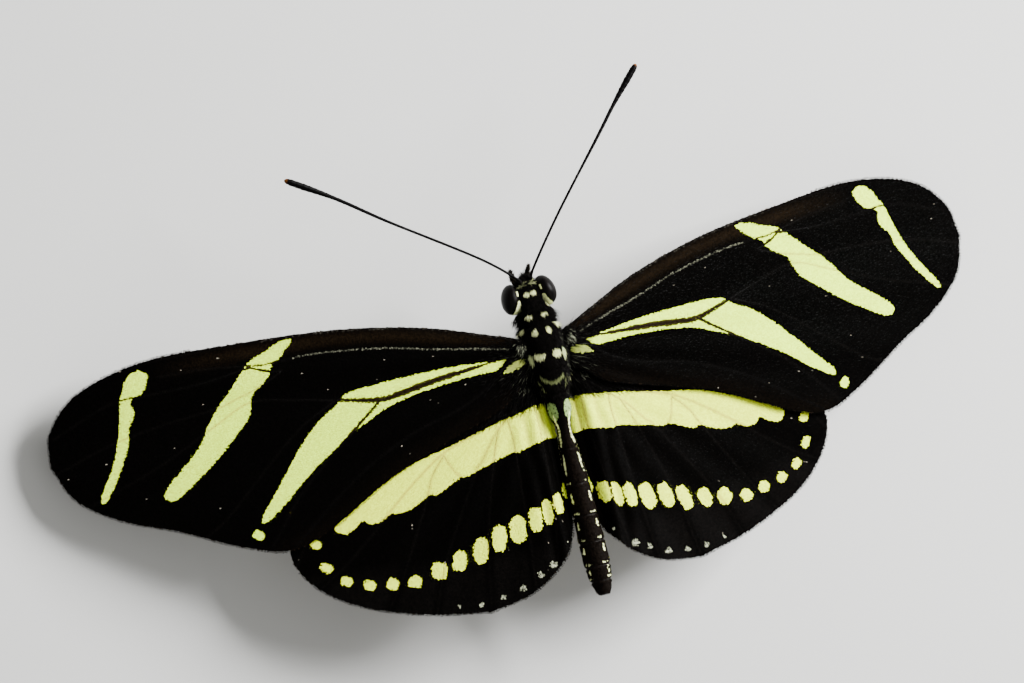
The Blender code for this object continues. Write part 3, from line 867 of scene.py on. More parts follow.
def rows_about(wing, pitch, spacing, reach):
    """Roots on arcs about the hinge, one arc every pitch and one root every spacing along it, each a
    little out of line. Those whose plate would reach past the outline are dropped."""
    hinge = np.array(HINGES[wing])
    offset = outlines[wing] - hinge
    bearing = np.arctan2(offset[:, 1], offset[:, 0])
    radii = np.arange(FIRST_ROW, np.hypot(offset[:, 0], offset[:, 1]).max(), pitch)
    spread = bearing.max() - bearing.min()
    counts = np.ceil(radii * spread / spacing).astype(int)
    row, place = numbered(counts)
    jitter = dice.uniform(-0.25, 0.25, (2, len(row)))
    turn = bearing.min() + spread * (place + 0.5 * (row % 2) + jitter[0]) / counts[row]
    radius = radii[row] + pitch * jitter[1]
    kept = inside(outlines[wing], hinge[0] + (radius + reach) * np.cos(turn),
                  hinge[1] + (radius + reach) * np.sin(turn))
    turn, radius = turn[kept], radius[kept]
    return hinge[0] + radius * np.cos(turn), hinge[1] + radius * np.sin(turn), turn


# %% The fringe along the margin, from the middle of the front edge round the tip to the rear
FRINGE_EDGE = slice(100, 310)
FRINGE_SPACING = 0.09
FRINGE_ROOT = 0.12


def fringe(wing):
    """Roots a little inside the margin, the directions square to it and outward, and the lengths."""
    edge = outlines[wing][FRINGE_EDGE]
    margin = smooth_curve(edge, int(np.linalg.norm(np.diff(edge, axis=0), axis=1).sum() / FRINGE_SPACING))
    heading = np.gradient(margin, axis=0)
    turn = np.arctan2(-heading[:, 0], heading[:, 1]) + dice.normal(0, 0.15, len(margin))
    offset = margin - outlines[wing].mean(axis=0)
    inward = np.cos(turn) * offset[:, 0] + np.sin(turn) * offset[:, 1] < 0
    turn = np.where(inward, turn + np.pi, turn)
    x, y = margin.T
    length = dice.uniform(0.22, 0.36, len(margin))
    return x - FRINGE_ROOT * np.cos(turn), y - FRINGE_ROOT * np.sin(turn), turn, length


# %% The coat of one face of a wing
SCALE_OVERLAP = 2.2
SCALE_SHOWN = 0.75
SCALE_WIDENING = 1.3
SCALE_LIFT = 0.04
SCALE_SPLAY = 0.06
MARKING_SHIFT = 0.015
FLECK_SHARE = 0.0006
FLECK_GROUND = 0.03
FLECK_TONES = (0.05, 0.6)
FLECK_NARROWING = 0.6
FLECK_RAISING = 2.0
FRINGE_WIDTH = 0.07
FRINGE_LIFT = 0.02


def flat_place(x, y, wing):
    """Place on the coat's flat map: the plan, shrunk to the unit square."""
    low = outlines[wing].min(axis=0)
    extent = 1.02 * (outlines[wing].max(axis=0) - low).max()
    return 0.01 + (np.stack([x, y], axis=1) - low) / extent


def wing_coat(wing, side, under, pitch, spacing):
    """Rows of scales on one face, a few pale ones among the black, and on the upper face the fringe."""
    x, y, turn = rows_about(wing, pitch, spacing, 1.5 * pitch)
    size = dice.uniform(0.85, 1.15, (2, len(x)))
    length = SCALE_OVERLAP * pitch * size[0]
    shown = SCALE_SHOWN * length
    colours = wing_paint(x + shown * np.cos(turn), y + shown * np.sin(turn), wing, under, MARKING_SHIFT)
    width = SCALE_WIDENING * spacing * size[1]
    lift = SCALE_LIFT * dice.uniform(0.7, 1.3, len(x))
    fleck = (colours.sum(axis=1) < FLECK_GROUND) & (dice.random(len(x)) < FLECK_SHARE)
    colours[fleck] = FLECK * dice.uniform(*FLECK_TONES, (fleck.sum(), 1))
    width[fleck] *= FLECK_NARROWING
    lift[fleck] *= FLECK_RAISING
    if not under:
        edge_x, edge_y, outward, reach = fringe(wing)
        count = len(reach)
        x, y, turn, length, width, lift = (np.append(old, new) for old, new in (
            (x, edge_x), (y, edge_y), (turn, outward), (length, reach),
            (width, [FRINGE_WIDTH] * count), (lift, [FRINGE_LIFT] * count)))
        colours = np.vstack([colours, np.tile(BLACK * 1.5, (count, 1))])
    turn = turn + dice.normal(0, SCALE_SPLAY, len(x))
    root, along, out = wing_frame(x, y, turn, wing, side)
    out = -out if under else out
    place = flat_place(x, y, wing)
    return scales(root + MEMBRANE_HALF * out, along, out, length, width, lift, colours, place)


# %% Both faces of each wing: row pitch and spacing of the scales
COATS = {"upper": (0.119, 0.105), "under": (0.16, 0.14)}
for wing, side_name, side in WINGS:
    for face, (pitch, spacing) in COATS.items():
        shape = wing_coat(wing, side, face == "under", pitch, spacing)
        show_piece(f"{wing}wing_{side_name}_{face}_scales", shape, scale_finish, smooth=False)

# %% [markdown]
# ## The body's shape
#
# Head, neck, thorax and abdomen are separate solids, but the animal's skin is one. We join their stations
# into one list and read a half width, a half height and a centre from a smooth curve through it. The
# skin lies inside by the depth of the coat. Grooves mark the abdomen's rings and the
# thorax's plates, and two hollows take the eyes.

# %% Stations: y toward the tail, half width, half height, centre over the axis
BODY_STATIONS = [
    (-6.95, 0.15, 0.15, -0.72), (-6.85, 0.4, 0.45, -0.7), (-6.6, 0.85, 0.9, -0.65),
    (-6.0, 1.3, 1.3, -0.55), (-5.3, 1.52, 1.45, -0.45), (-4.7, 1.52, 1.4, -0.4),
    (-4.1, 1.38, 1.22, -0.33), (-3.4, 1.54, 1.5, -0.25), (-2.6, 1.65, 1.7, -0.2),
    (-1.8, 1.9, 2.1, -0.15), (-0.8, 2.0, 2.4, -0.1), (0.7, 2.0, 2.45, -0.1), (2.0, 1.8, 2.15, -0.1),
    (3.0, 1.45, 1.6, -0.05), (3.85, 1.12, 1.2, 0.0), (4.5, 1.15, 1.24, -0.03), (5.2, 1.16, 1.25, -0.07),
    (5.95, 0.95, 1.06, -0.12), (6.9, 0.7, 0.84, -0.19), (8.5, 0.82, 0.94, -0.3),
    (11.0, 1.06, 1.13, -0.48), (14.5, 1.1, 1.18, -0.72), (18.3, 1.18, 1.22, -1.0),
    (20.2, 1.04, 1.07, -1.13), (21.4, 0.8, 0.82, -1.22), (21.95, 0.55, 0.56, -1.25),
    (22.1, 0.3, 0.3, -1.26)]
COAT_DEPTHS = [(-7.0, 0.05), (-6.4, 0.12), (-4.6, 0.12), (-3.6, 0.24), (2.5, 0.26), (4.2, 0.12),
               (7.0, 0.08), (22.2, 0.07)]
RINGS = [8.7, 11.9, 14.8, 17.2, 19.4, 20.7]
RING_DEPTH = 0.07
RING_WIDTH = 0.13
SWELL_HEIGHT = 0.04
SWELL_AHEAD = 0.45
SWELL_WIDTH = 0.4
PLATES = [-2.5, 1.6, 2.7, 3.75]
PLATE_DEPTH = 0.09
PLATE_WIDTH = 0.16
SEAM_DEPTH = 0.07
SEAM_WIDTH = 0.06
SEAM_MIDDLE = -0.4
SEAM_REACH = 1.6
EYE_CENTRE = np.array([1.62, -5.33, -0.45])
EYE_RADII = np.array([0.88, 1.34, 1.4])
EYE_SKEW = 0.12
SOCKET_GAP = 0.03
body_curve = smooth_curve(BODY_STATIONS, 800)
print("body length in mm:", round(BODY_STATIONS[-1][0] - BODY_STATIONS[0][0], 2))


def body_size(y):
    """Half width, half height, centre and coat depth at each y."""
    sizes = [np.interp(y, body_curve[:, 0], body_curve[:, k]) for k in (1, 2, 3)]
    depths = np.array(COAT_DEPTHS)
    return (*sizes, np.interp(y, depths[:, 0], depths[:, 1]))


def body_relief(y, a):
    """Rings: each swells toward its rear edge and drops into a groove. Plates: narrow grooves across the
    thorax and one along its middle. All are sums of bell curves."""
    relief = np.zeros(np.broadcast(y, a).shape)
    for ring in RINGS:
        swell = SWELL_HEIGHT * bell(y - ring + SWELL_AHEAD, SWELL_WIDTH)
        relief = relief - RING_DEPTH * bell(y - ring, RING_WIDTH) + swell
    for plate in PLATES:
        relief = relief - PLATE_DEPTH * bell(y - plate, PLATE_WIDTH)
    seam = bell(a, SEAM_WIDTH) * np.clip(1 - ((y - SEAM_MIDDLE) / SEAM_REACH)**2, 0, 1)
    return relief - SEAM_DEPTH * seam


def skin_point(y, a):
    """Body frame: ((width + r) sin a, y, centre + (height + r) cos a), with r the relief less the coat
    depth; in the head, x stays on the inner side of the eyes' hollows."""
    width, height, centre, depth = body_size(y)
    radius = body_relief(y, a) - depth
    x = (width + radius) * np.sin(a)
    z = centre + (height + radius) * np.cos(a)
    hollow = EYE_RADII + SOCKET_GAP
    bowl = 1 - ((y - EYE_CENTRE[1]) / hollow[1])**2 - ((z - EYE_CENTRE[2]) / hollow[2])**2
    wall = EYE_CENTRE[0] + EYE_SKEW * (y - EYE_CENTRE[1]) - hollow[0] * np.sqrt(np.clip(bowl, 0, 1))
    x = np.where(bowl > 0, np.sign(x) * np.minimum(np.abs(x), wall), x)
    return np.stack([x, np.broadcast_to(y, x.shape), z], axis=-1)


# %% From the body's frame to the world
HEAD_BLEND = 0.7


def place_body(points):
    """Body frame to world: a turn of the head that fades out along the neck, a roll about the Y axis,
    and the lift to the axis height."""
    turn = HEAD_TURN * ramp(points[..., 1], HEAD_PIVOT_Y + HEAD_BLEND, -HEAD_BLEND)
    y = points[..., 1] - HEAD_PIVOT_Y
    x = points[..., 0] * np.cos(turn) - y * np.sin(turn)
    y = points[..., 0] * np.sin(turn) + y * np.cos(turn) + HEAD_PIVOT_Y
    z = points[..., 2]
    cos, sin = math.cos(BODY_ROLL), math.sin(BODY_ROLL)
    return np.stack([x * cos + z * sin, y + BODY_Y, AXIS_HEIGHT - x * sin + z * cos], axis=-1)


def show_on_body(name, shape, finish, nodes=(), smooth=True):
    """Shows a shape whose points are still in the body's frame."""
    shape["points"] = place_body(shape["points"])
    show_piece(name, shape, finish, nodes, smooth)


# %% [markdown]
# ## The body's markings
#
# Cream spots sit in pairs on the head, collar and thorax, greenish patches flank the waist, and a thin
# pale line breaks into dashes along each side of the abdomen. A marking is an ellipse in y and in arc
# length round the body, given once and used on both sides.

# %% Body markings: y, angle from the back in degrees, half length, half width, colour
PALE = np.array([0.94, 1.0, 0.5])
GREEN = np.array([0.26, 0.38, 0.13])
OLIVE = np.array([0.13, 0.15, 0.06])
SKIN_BLACK = np.array([0.0018, 0.0014, 0.0012])
TAIL_BROWN = np.array([0.0042, 0.0030, 0.0023])
BODY_MARKS = [
    (-6.22, 22, 0.07, 0.2, 0.45 * PALE), (-6.12, 42, 0.07, 0.2, 0.45 * PALE),
    (-5.3, 13, 0.19, 0.3, PALE), (-3.2, 27, 0.17, 0.38, PALE), (-1.75, 22, 0.28, 0.32, PALE),
    (-2.05, 70, 0.24, 0.34, PALE), (0.35, 26, 0.32, 0.62, PALE),
    (0.5, 55, 0.55, 0.3, 0.6 * PALE + 0.3 * GREEN), (-4.3, 66, 0.3, 0.3, 0.5 * PALE),
    (-1.4, 108, 0.5, 0.4, PALE), (0.9, 112, 0.6, 0.4, PALE), (2.6, 112, 0.4, 0.5, PALE),
    (5.3, 47, 0.85, 0.62, GREEN), (7.0, 48, 1.45, 0.12, PALE), (10.1, 50, 0.95, 0.11, PALE),
    (11.75, 46, 0.06, 0.34, 0.5 * PALE), (13.2, 51, 0.5, 0.12, PALE), (15.7, 52, 0.36, 0.12, PALE),
    (18.0, 52, 0.33, 0.12, PALE), (19.9, 52, 0.26, 0.11, PALE), (14.6, 43, 0.06, 0.38, 0.8 * PALE),
    (17.0, 43, 0.06, 0.38, 0.8 * PALE), (19.2, 44, 0.06, 0.38, 0.8 * PALE),
    (20.5, 56, 0.06, 0.3, 0.6 * PALE), (9.5, 100, 3.4, 0.12, PALE), (16.5, 104, 3.2, 0.12, PALE),
    (8.0, 158, 4.0, 0.16, PALE), (16.0, 160, 3.6, 0.14, PALE)]
WAIST_TWIST = math.radians(6)
STROKE_HALF = 0.16
ARC_Y = 2.85
ARC_BOW = 0.55
ARC_SPAN = math.radians(38)
ARC_END = math.radians(42)
DASH_Y = 2.6
DASH_SLANT = 0.8
DASH_TURN = math.radians(62)
DASH_SPAN = math.radians(9)
MARK_GAPS = 0.12
print("markings on each side of the body:", len(BODY_MARKS))


def body_paint(y, a, ragged):
    """Black with the markings over it; the abdomen is browner than the thorax. Behind the thorax an
    olive arc crosses the back, and a slanting dash stands at each of its ends."""
    y = y + dice.normal(0, ragged, len(y))
    width, height, _, _ = body_size(y)
    girth = (width + height) / 2
    colours = blend(SKIN_BLACK, TAIL_BROWN, ramp(y, 6.0, 2.0)) * dice.uniform(0.6, 1.5, (len(y), 1))
    twist = WAIST_TWIST * ramp(y, 5.5, 1.5)
    bend = np.abs(a - twist) + dice.normal(0, ragged, len(y)) / girth
    arc_line = ARC_Y - ARC_BOW * (bend / ARC_SPAN)**2
    colours[(np.abs(y - arc_line) < STROKE_HALF) & (bend < ARC_END)] = 1.9 * OLIVE
    slant = DASH_Y + DASH_SLANT * (DASH_TURN - bend) / DASH_SPAN
    colours[(np.abs(y - slant) < STROKE_HALF) & (y > 2.5) & (y < 3.5)] = 1.5 * OLIVE
    for mark_y, degrees, length, width, colour in BODY_MARKS:
        arc = (bend - math.radians(degrees)) * girth
        covered = ((y - mark_y) / length)**2 + (arc / width)**2 < 1
        covered &= dice.random(len(y)) > MARK_GAPS * (mark_y > 4)
        colours[covered] = colour * dice.uniform(0.8, 1.1, (covered.sum(), 1))
    return colours


# %% The skin as one piece
SKIN_ROWS = 420
SKIN_COLUMNS = 112
SKIN_START = -6.93
SKIN_LENGTH = 29.0
spread = np.linspace(0, 1, SKIN_ROWS)
skin_y = SKIN_START + SKIN_LENGTH * (0.45 * spread + 0.55 * spread**1.8)
skin_a = np.linspace(-np.pi, np.pi, SKIN_COLUMNS, endpoint=False)
grid_y, grid_a = (grid.ravel() for grid in np.meshgrid(skin_y, skin_a, indexing="ij"))
skin_poles = [(0, skin_y[0] - 0.03, -0.72), (0, skin_y[-1] + 0.04, -1.26)]
skin = new_shape(np.vstack([skin_point(grid_y, grid_a), skin_poles]), sleeve_faces(SKIN_ROWS, SKIN_COLUMNS),
                 np.vstack([body_paint(grid_y, grid_a, 0.0), SKIN_BLACK, TAIL_BROWN]))
show_on_body("body_skin", skin, skin_finish, ["head", "neck", "thorax", "abdomen"])

# %% [markdown]
# ## Hair
#
# A hair here is a closed three-sided spike in two lengths, so that it can bend. It leaves the skin at a
# slope and lies down toward its tip. Thousands of them are one array operation: their rings are worked
# out together. The roots sit in rows round the body, shifted out of line, and none is
# placed inside an eye.

# %% One shape for many hairs
SPIKE_RINGS = [(0.0, 1.0), (0.5, 0.75), (1.0, 0.0)]
SPIKE_THREES = np.array([(0, 1, 2), (3, 5, 6), (5, 4, 6), (4, 3, 6)])
SPIKE_FOURS = np.array([(0, 2, 5, 3), (2, 1, 4, 5), (1, 0, 3, 4)])
SPIKE_PATCH = np.array([(1, 0), (0, 0), (0.5, 0), (1, 0.5), (0, 0.5), (0.5, 0.5), (0.5, 1)])


def spikes(root, along, out, length, width, rise, colours, place):
    """Centre line: root + t length along + rise length (t - t^2 / 2) out. The three corners of a ring
    stand half a width to each side and 0.6 width out, and shrink to a point at t = 1. Each size is a
    number for each hair, or one for all of them."""
    length, width, rise = (np.broadcast_to(size, len(root)) for size in (length, width, rise))
    across = np.cross(along, out)
    rings = []
    for t, share in SPIKE_RINGS:
        middle = root + (t * length)[:, None] * along + (rise * length * (t - t * t / 2))[:, None] * out
        half = (0.5 * share * width)[:, None]
        ring = [middle + half * across, middle - half * across, middle + 1.2 * half * out]
        rings += ring if share else ring[:1]
    first = np.arange(len(root))[:, None, None] * 7
    faces = [(first + corners).reshape(-1, corners.shape[1]) for corners in (SPIKE_THREES, SPIKE_FOURS)]
    patch = place[:, None] + PATCH * (SPIKE_PATCH - 0.5)
    colours = np.repeat(np.broadcast_to(colours, root.shape), 7, axis=0)
    return new_shape(np.stack(rings, axis=1).reshape(-1, 3), faces, colours, patch.reshape(-1, 2))


# %% Rows of roots round the body
def rows_round(start, end, pitch, spacing):
    """y and angle of roots, one ring every pitch and one root every spacing round it, out of line."""
    stations = np.arange(start, end, pitch)
    width, height, _, depth = body_size(stations)
    counts = np.maximum(6, np.pi * (width + height - 2 * depth) / spacing).astype(int)
    row, place = numbered(counts)
    jitter = dice.uniform(-0.4, 0.4, (2, len(row)))
    a = 2 * np.pi * (place + 0.5 * (row % 2) + jitter[1]) / counts[row] - np.pi
    return stations[row] + pitch * jitter[0], (a + np.pi) % (2 * np.pi) - np.pi


def skin_frame(y, a):
    """Root on the skin, the unit direction toward the tail and the unit normal."""
    step = 0.02
    root = skin_point(y, a)
    tailward = unit(skin_point(y + step, a) - root)
    around = skin_point(y, a + step) - root
    return root, tailward, unit(np.cross(around, tailward))


def body_map(y, a, start, end):
    """Place on the coat's flat map: along the body and round it."""
    return 0.01 + 0.98 * np.stack([(y - start) / (end - start), (a + np.pi) / (2 * np.pi)], axis=1)


# %% Hair of the head, none of it rooted in an eye
def eye_nearness(points):
    """0 on the eyes' surface and more outside: the sum of squared offsets over radii, less one, once the
    eyes' lean is taken off x."""
    offset = points - EYE_CENTRE
    offset[..., 0] = np.abs(points[..., 0]) - EYE_CENTRE[0] - EYE_SKEW * offset[..., 1]
    return ((offset / EYE_RADII)**2).sum(axis=-1) - 1


face, crown = rows_round(-6.93, -6.2, 0.02, 0.07), rows_round(-6.9, -3.9, 0.062, 0.058)
y, a = np.concatenate([face, crown], axis=1)
outside = eye_nearness(skin_point(y, a)) > 0.02
y, a = y[outside], a[outside]
root, tailward, out = skin_frame(y, a)
brow = ramp(y, -5.9, -0.7)
lie = unit(tailward * (1 - 1.6 * brow[:, None]) + dice.normal(0, 0.2, root.shape))
top = bell(a, 0.9)
nape = ramp(y, -4.9, 0.6)
length = (0.18 + 0.1 * top + 0.2 * brow * top + 0.28 * nape) * dice.uniform(0.6, 1.4, len(y))
tone = body_paint(y + 0.5 * length * (1 - 1.6 * brow), a, 0.02)
head_hair = spikes(root, lie, out, length, 0.042 + 0.012 * nape, 0.5 + 0.9 * top * brow + 1.1 * nape,
                   tone, body_map(y, a, -7.0, -3.8))
show_on_body("head_hair", head_hair, hair_finish)

# %% Hair of the neck and thorax
# Grey of pale hairs; on the flanks and shoulders it also paints glints.
FROST_AND_GLINT = np.array([0.076, 0.08, 0.056])
y, a = rows_round(-4.1, 4.2, 0.08, 0.076)
root, tailward, out = skin_frame(y, a)
lie = unit(tailward + dice.normal(0, 0.16, root.shape))
flank = ramp(np.abs(a), 0.9, 0.8)
collar = ramp(y, -2.9, -0.5)
length = (0.36 + 0.3 * flank + 0.16 * collar) * dice.uniform(0.6, 1.4, len(y))
tone = body_paint(y + 0.55 * length, a, 0.03)
# Grey hairs on the flanks behind the collar: partly grey hair, partly painted glints.
frosted_and_glinting = (dice.random(len(y)) < 0.22 * flank) & (tone.sum(axis=1) < 0.02) & (y > -1.6)
tone[frosted_and_glinting] = FROST_AND_GLINT * dice.uniform(0.2, 1.0, (frosted_and_glinting.sum(), 1))
thorax_hair = spikes(root, lie, out, length, dice.uniform(0.045, 0.07, len(y)),
                     0.55 + 0.5 * flank + 0.5 * collar, tone, body_map(y, a, -4.3, 4.6))
show_on_body("thorax_hair", thorax_hair, hair_finish)

# %% Scales of the abdomen
y, a = rows_round(4.0, 21.9, 0.11, 0.09)
root, tailward, out = skin_frame(y, a)
lie = unit(tailward + dice.normal(0, 0.08, root.shape))
size = dice.uniform(0.85, 1.15, (3, len(y)))
abdomen_scales = scales(root, lie, out, 0.26 * size[0], 0.125 * size[1], 0.06 * size[2],
                        body_paint(y + 0.19, a, 0.02), body_map(y, a, 3.8, 22.4))
show_on_body("abdomen_scales", abdomen_scales, scale_finish, smooth=False)

# %% Pale rims behind the eyes, in degrees from the outward axis and round it
RIM_EDGE = 121.0
RIM_COVER = 29.0
RIM_END = 150
RIM_FRONT = 6
RIM_REAR = 12
RIM_STEP = 2.6
RIM_STRETCHES = [(-120.0, 78.0), (97.0, 116.0)]
RIM_SPACING = 3.2
RIM_JITTER = 0.9
RIM_PLATE_WIDTH = 0.085
RIM_PLATE_LIFT = 0.04


def rim_cone(p, q, side):
    """Eye centre + (1 + flare) radii (cos p, sin p cos q, sin p sin q), leaning as the eye does."""
    flare = 1.02 + 0.25 * np.clip(p - math.radians(95), 0, 1)[:, None]
    ball = EYE_RADII * flare * np.stack([np.cos(p), np.sin(p) * np.cos(q), np.sin(p) * np.sin(q)], axis=1)
    ball[:, 0] += EYE_SKEW * ball[:, 1]
    return (EYE_CENTRE + ball) * [side, 1, 1]


def eye_rim(side):
    """Plates on a cone that flares from the eye, all pointing to it. The angle q runs from the rear over
    the top. Behind the eye the rim widens both ways, as the cosine of q, and is grey near the eye."""
    q = np.concatenate([np.arange(low, high, RIM_SPACING) for low, high in RIM_STRETCHES])
    p = np.arange(RIM_EDGE - RIM_COVER, RIM_END, RIM_STEP)
    p, q = (grid.ravel() for grid in np.meshgrid(p, q, indexing="ij"))
    rear = np.clip(np.cos(np.radians(q)), 0, 1)
    kept = (p > RIM_EDGE - RIM_COVER * rear**2 - 0.5) & (p < RIM_EDGE + RIM_FRONT + RIM_REAR * rear)
    jitter = dice.uniform(-RIM_JITTER, RIM_JITTER, (2, kept.sum()))
    p, q = np.radians(np.stack([p, q])[:, kept] + jitter)
    rear = rear[kept]
    root = rim_cone(p, q, side)
    along = unit(rim_cone(p - 0.05, q, side) - root)
    out = unit(np.cross(along, np.stack([0 * q, -np.sin(q), np.cos(q)], axis=1)))
    out = out * np.sign(((root - EYE_CENTRE * [side, 1, 1]) * out).sum(axis=1))[:, None]
    inner = np.clip((np.degrees(p) - RIM_EDGE + 9) / 10, 0, 1)
    fade = np.clip((np.degrees(q) + 60) / 60, 0.45, 1) * (1 - 0.75 * rear * inner)
    tone = PALE * fade[:, None] * dice.uniform(0.85, 1.1, (len(q), 1))
    middle = 0.25 + 0.5 * (side > 0)
    place = np.stack([middle + 0.2 * np.cos(q) * p / 2.6, 0.5 + 0.4 * np.sin(q) * p / 2.6], axis=1)
    length = (0.1 + 0.07 * rear) * dice.uniform(0.7, 1.3, len(q))
    return scales(root, along, out, length, RIM_PLATE_WIDTH, RIM_PLATE_LIFT, tone, place)


rims = joined([eye_rim(side) for side in SIDES.values()])
show_on_body("eye_rims", rims, scale_finish, smooth=False)

# %% [markdown]
# ## Eyes
#
# A butterfly's eye is a dome of thousands of lenses. A half millimetre of it lies in the head's hollow,
# so a whole ellipsoid is the honest shape. Its longitudes run round the axis that points outward, and it
# leans inward toward the front. The lenses are about as wide as a thirtieth of a millimetre, which the
# finish adds as bump.

# %% Eyes
EYE_ROWS = 72
EYE_COLUMNS = 108
EYE_DARK = np.array([0.0009, 0.0007, 0.0007])


def ellipsoid(centre, radii, colour, rows, columns):
    """Centre + radii (cos p, sin p cos q, sin p sin q), p from pole to pole and q round."""
    p = np.linspace(0, np.pi, rows + 2)[1:-1, None]
    q = np.linspace(0, 2 * np.pi, columns, endpoint=False)[None, :]
    ball = np.stack([np.cos(p) + 0 * q, np.sin(p) * np.cos(q), np.sin(p) * np.sin(q)], axis=-1).reshape(-1, 3)
    points = centre + radii * np.vstack([ball, (1, 0, 0), (-1, 0, 0)])
    return new_shape(points, sleeve_faces(rows, columns), colour)


for side_name, side in SIDES.items():
    eye = ellipsoid(EYE_CENTRE * [side, 1, 1], EYE_RADII, EYE_DARK, EYE_ROWS, EYE_COLUMNS)
    eye["points"][:, 0] += side * EYE_SKEW * (eye["points"][:, 1] - EYE_CENTRE[1])
    show_on_body("eye_surface_" + side_name, eye, eye_finish, ["eye_" + side_name])

# %% [markdown]
# ## Shoulder lobes and the long hair of the wing bases
#
# A small furry lobe, the tegula, covers each forewing's hinge: dark, with grey hair in its middle, on top,
# that is partly a painted highlight. Behind it long hair streams from the thorax over the wing bases and over
# the front edge of the hindwing's band. Few
# hairs stand far from the body: each is kept with a chance that falls off like a bell curve.

# %% Shoulder lobes
LOBE_PLACE = np.array([2.35, -0.8])
LOBE_LIFT = 0.1
LOBE_RADII = np.array([0.62, 0.68, 0.34])
LOBE_ROWS = 20
LOBE_COLUMNS = 30
LOBE_HAIRS = 700
LOBE_HAIR_LENGTHS = (0.22, 0.5)
LOBE_HAIR_WIDTH = 0.05


def shoulder_lobe(side):
    """An ellipsoid, and hair from random places of its upper half, lying outward and toward the tail."""
    centre = on_wing(*LOBE_PLACE[:, None], "fore", side)[0] + [0, 0, LOBE_LIFT]
    plate = ellipsoid(centre, LOBE_RADII, SKIN_BLACK, LOBE_ROWS, LOBE_COLUMNS)
    ball = unit(dice.normal(0, 1, (LOBE_HAIRS, 3)))
    ball[:, 2] = np.abs(ball[:, 2])
    out = unit(ball / LOBE_RADII)
    heading = np.array([0.5 * side, 0.85, 0.0]) + dice.normal(0, 0.25, (LOBE_HAIRS, 3))
    along = unit(heading - out * (heading * out).sum(axis=1, keepdims=True))
    # The grey hairs on the lobe's top are partly a painted highlight.
    frosted_and_glinting = dice.random(LOBE_HAIRS) < 0.6 * np.exp(-((ball[:, 0]**2 + ball[:, 1]**2) / 0.3))
    tone = np.where(frosted_and_glinting[:, None], 3.0 * FROST_AND_GLINT * dice.uniform(0.1, 1.8, (LOBE_HAIRS, 1)), SKIN_BLACK)
    place = 0.25 + 0.5 * (side > 0) * np.array([1, 0]) + 0.2 * ball[:, :2] + [0, 0.25]
    length = dice.uniform(*LOBE_HAIR_LENGTHS, LOBE_HAIRS)
    hair = spikes(centre + 0.97 * LOBE_RADII * ball, along, out, length, LOBE_HAIR_WIDTH, 0.7, tone, place)
    return plate, hair


plates, hairs = zip(*(shoulder_lobe(side) for side in SIDES.values()))
show_piece("shoulder_lobes", joined(plates), skin_finish)
show_piece("shoulder_hair", joined(hairs), hair_finish)

# %% Long hair of the wing bases
HAIR_CENTRE = (1.2, 0.4)
HAIR_REACH = {"fore": 2.6, "hind": 3.4}
HAIR_GRID = 0.1
HAIR_CHANCE = 1.3
HAIR_FROST_GLINT_REACH = 2.2
HAIR_LENGTHS = (0.5, 1.0)
HAIR_RISES = (0.15, 0.5)
HAIR_WIDTH = 0.04
HAIR_SPLAY = 0.22
HAIR_MAP_SPAN = 8.0
FRONT_WIDTH = 0.5
FRONT_CHANCE = 0.5
TUFT = (2.9, 2.7, 0.4)


def base_hair(wing, side):
    """Kept where a random number is below exp(-(distance / reach)^2), and along the front of the
    hindwing's band, but not on the forewing's cream; each hair points away from the thorax."""
    x, y, _ = rows_about(wing, HAIR_GRID, HAIR_GRID, 0.0)
    away = np.hypot(x - HAIR_CENTRE[0], y - HAIR_CENTRE[1])
    chance = HAIR_CHANCE * bell(away, HAIR_REACH[wing])
    if wing == "hind":
        front = distance(smooth_curve(BANDS[wing][0][:4], 60), x, y)
        chance = np.maximum(chance, FRONT_CHANCE * (front < FRONT_WIDTH) * ramp(x, 10, -5)) * (y > 2.0)
    covered = np.any([inside(mark, x + ahead, y) for mark in marks[wing][:4] for ahead in (0, 0.4)], axis=0)
    kept = (dice.random(len(x)) < chance) & ~covered
    x, y, away = x[kept], y[kept], away[kept]
    turn = np.arctan2(y - HAIR_CENTRE[1] + 1.0, x - HAIR_CENTRE[0] + 1.0)
    turn = turn + dice.normal(0, HAIR_SPLAY, len(x))
    root, along, out = wing_frame(x, y, turn, wing, side)
    tuft = (np.hypot(x - TUFT[0], y - TUFT[1]) < TUFT[2]) * (wing == "hind")
    # Grey hairs near the thorax are partly painted glints; the tuft on the hindwing is pale hair.
    frosted_and_glinting = dice.random(len(x)) < 0.12 * bell(away, HAIR_FROST_GLINT_REACH) + 0.6 * tuft
    frost_and_glint = FROST_AND_GLINT * (1 + 2.5 * tuft[:, None]) * dice.uniform(0.1, 1.0, (len(x), 1))
    tone = np.where(frosted_and_glinting[:, None], frost_and_glint, BLACK * 2)
    length = dice.uniform(*HAIR_LENGTHS, len(x)) * np.clip(1.3 - away / 12, 0.5, 1.2) * (1 - 0.5 * tuft)
    low = outlines[wing].min(axis=0)
    place = 0.01 + 0.48 * (np.stack([x, y], axis=1) - low) / HAIR_MAP_SPAN % 1 + [0.5 * (wing == "hind"), 0]
    rise = dice.uniform(*HAIR_RISES, len(x))
    return spikes(root + MEMBRANE_HALF * out, along, out, length, HAIR_WIDTH, rise, tone, place)


for side_name, side in SIDES.items():
    shape = joined([base_hair(wing, side) for wing in ("fore", "hind")])
    show_piece(f"wing_base_hair_{side_name}", shape, hair_finish)

# %% [markdown]
# ## Antennae
#
# Each antenna is a chain of some forty short joints, black and slightly waisted, that swells into a slim
# club with an orange tip. One tube carries it: the radius follows a few stations, with a small
# sawtooth for the joints.

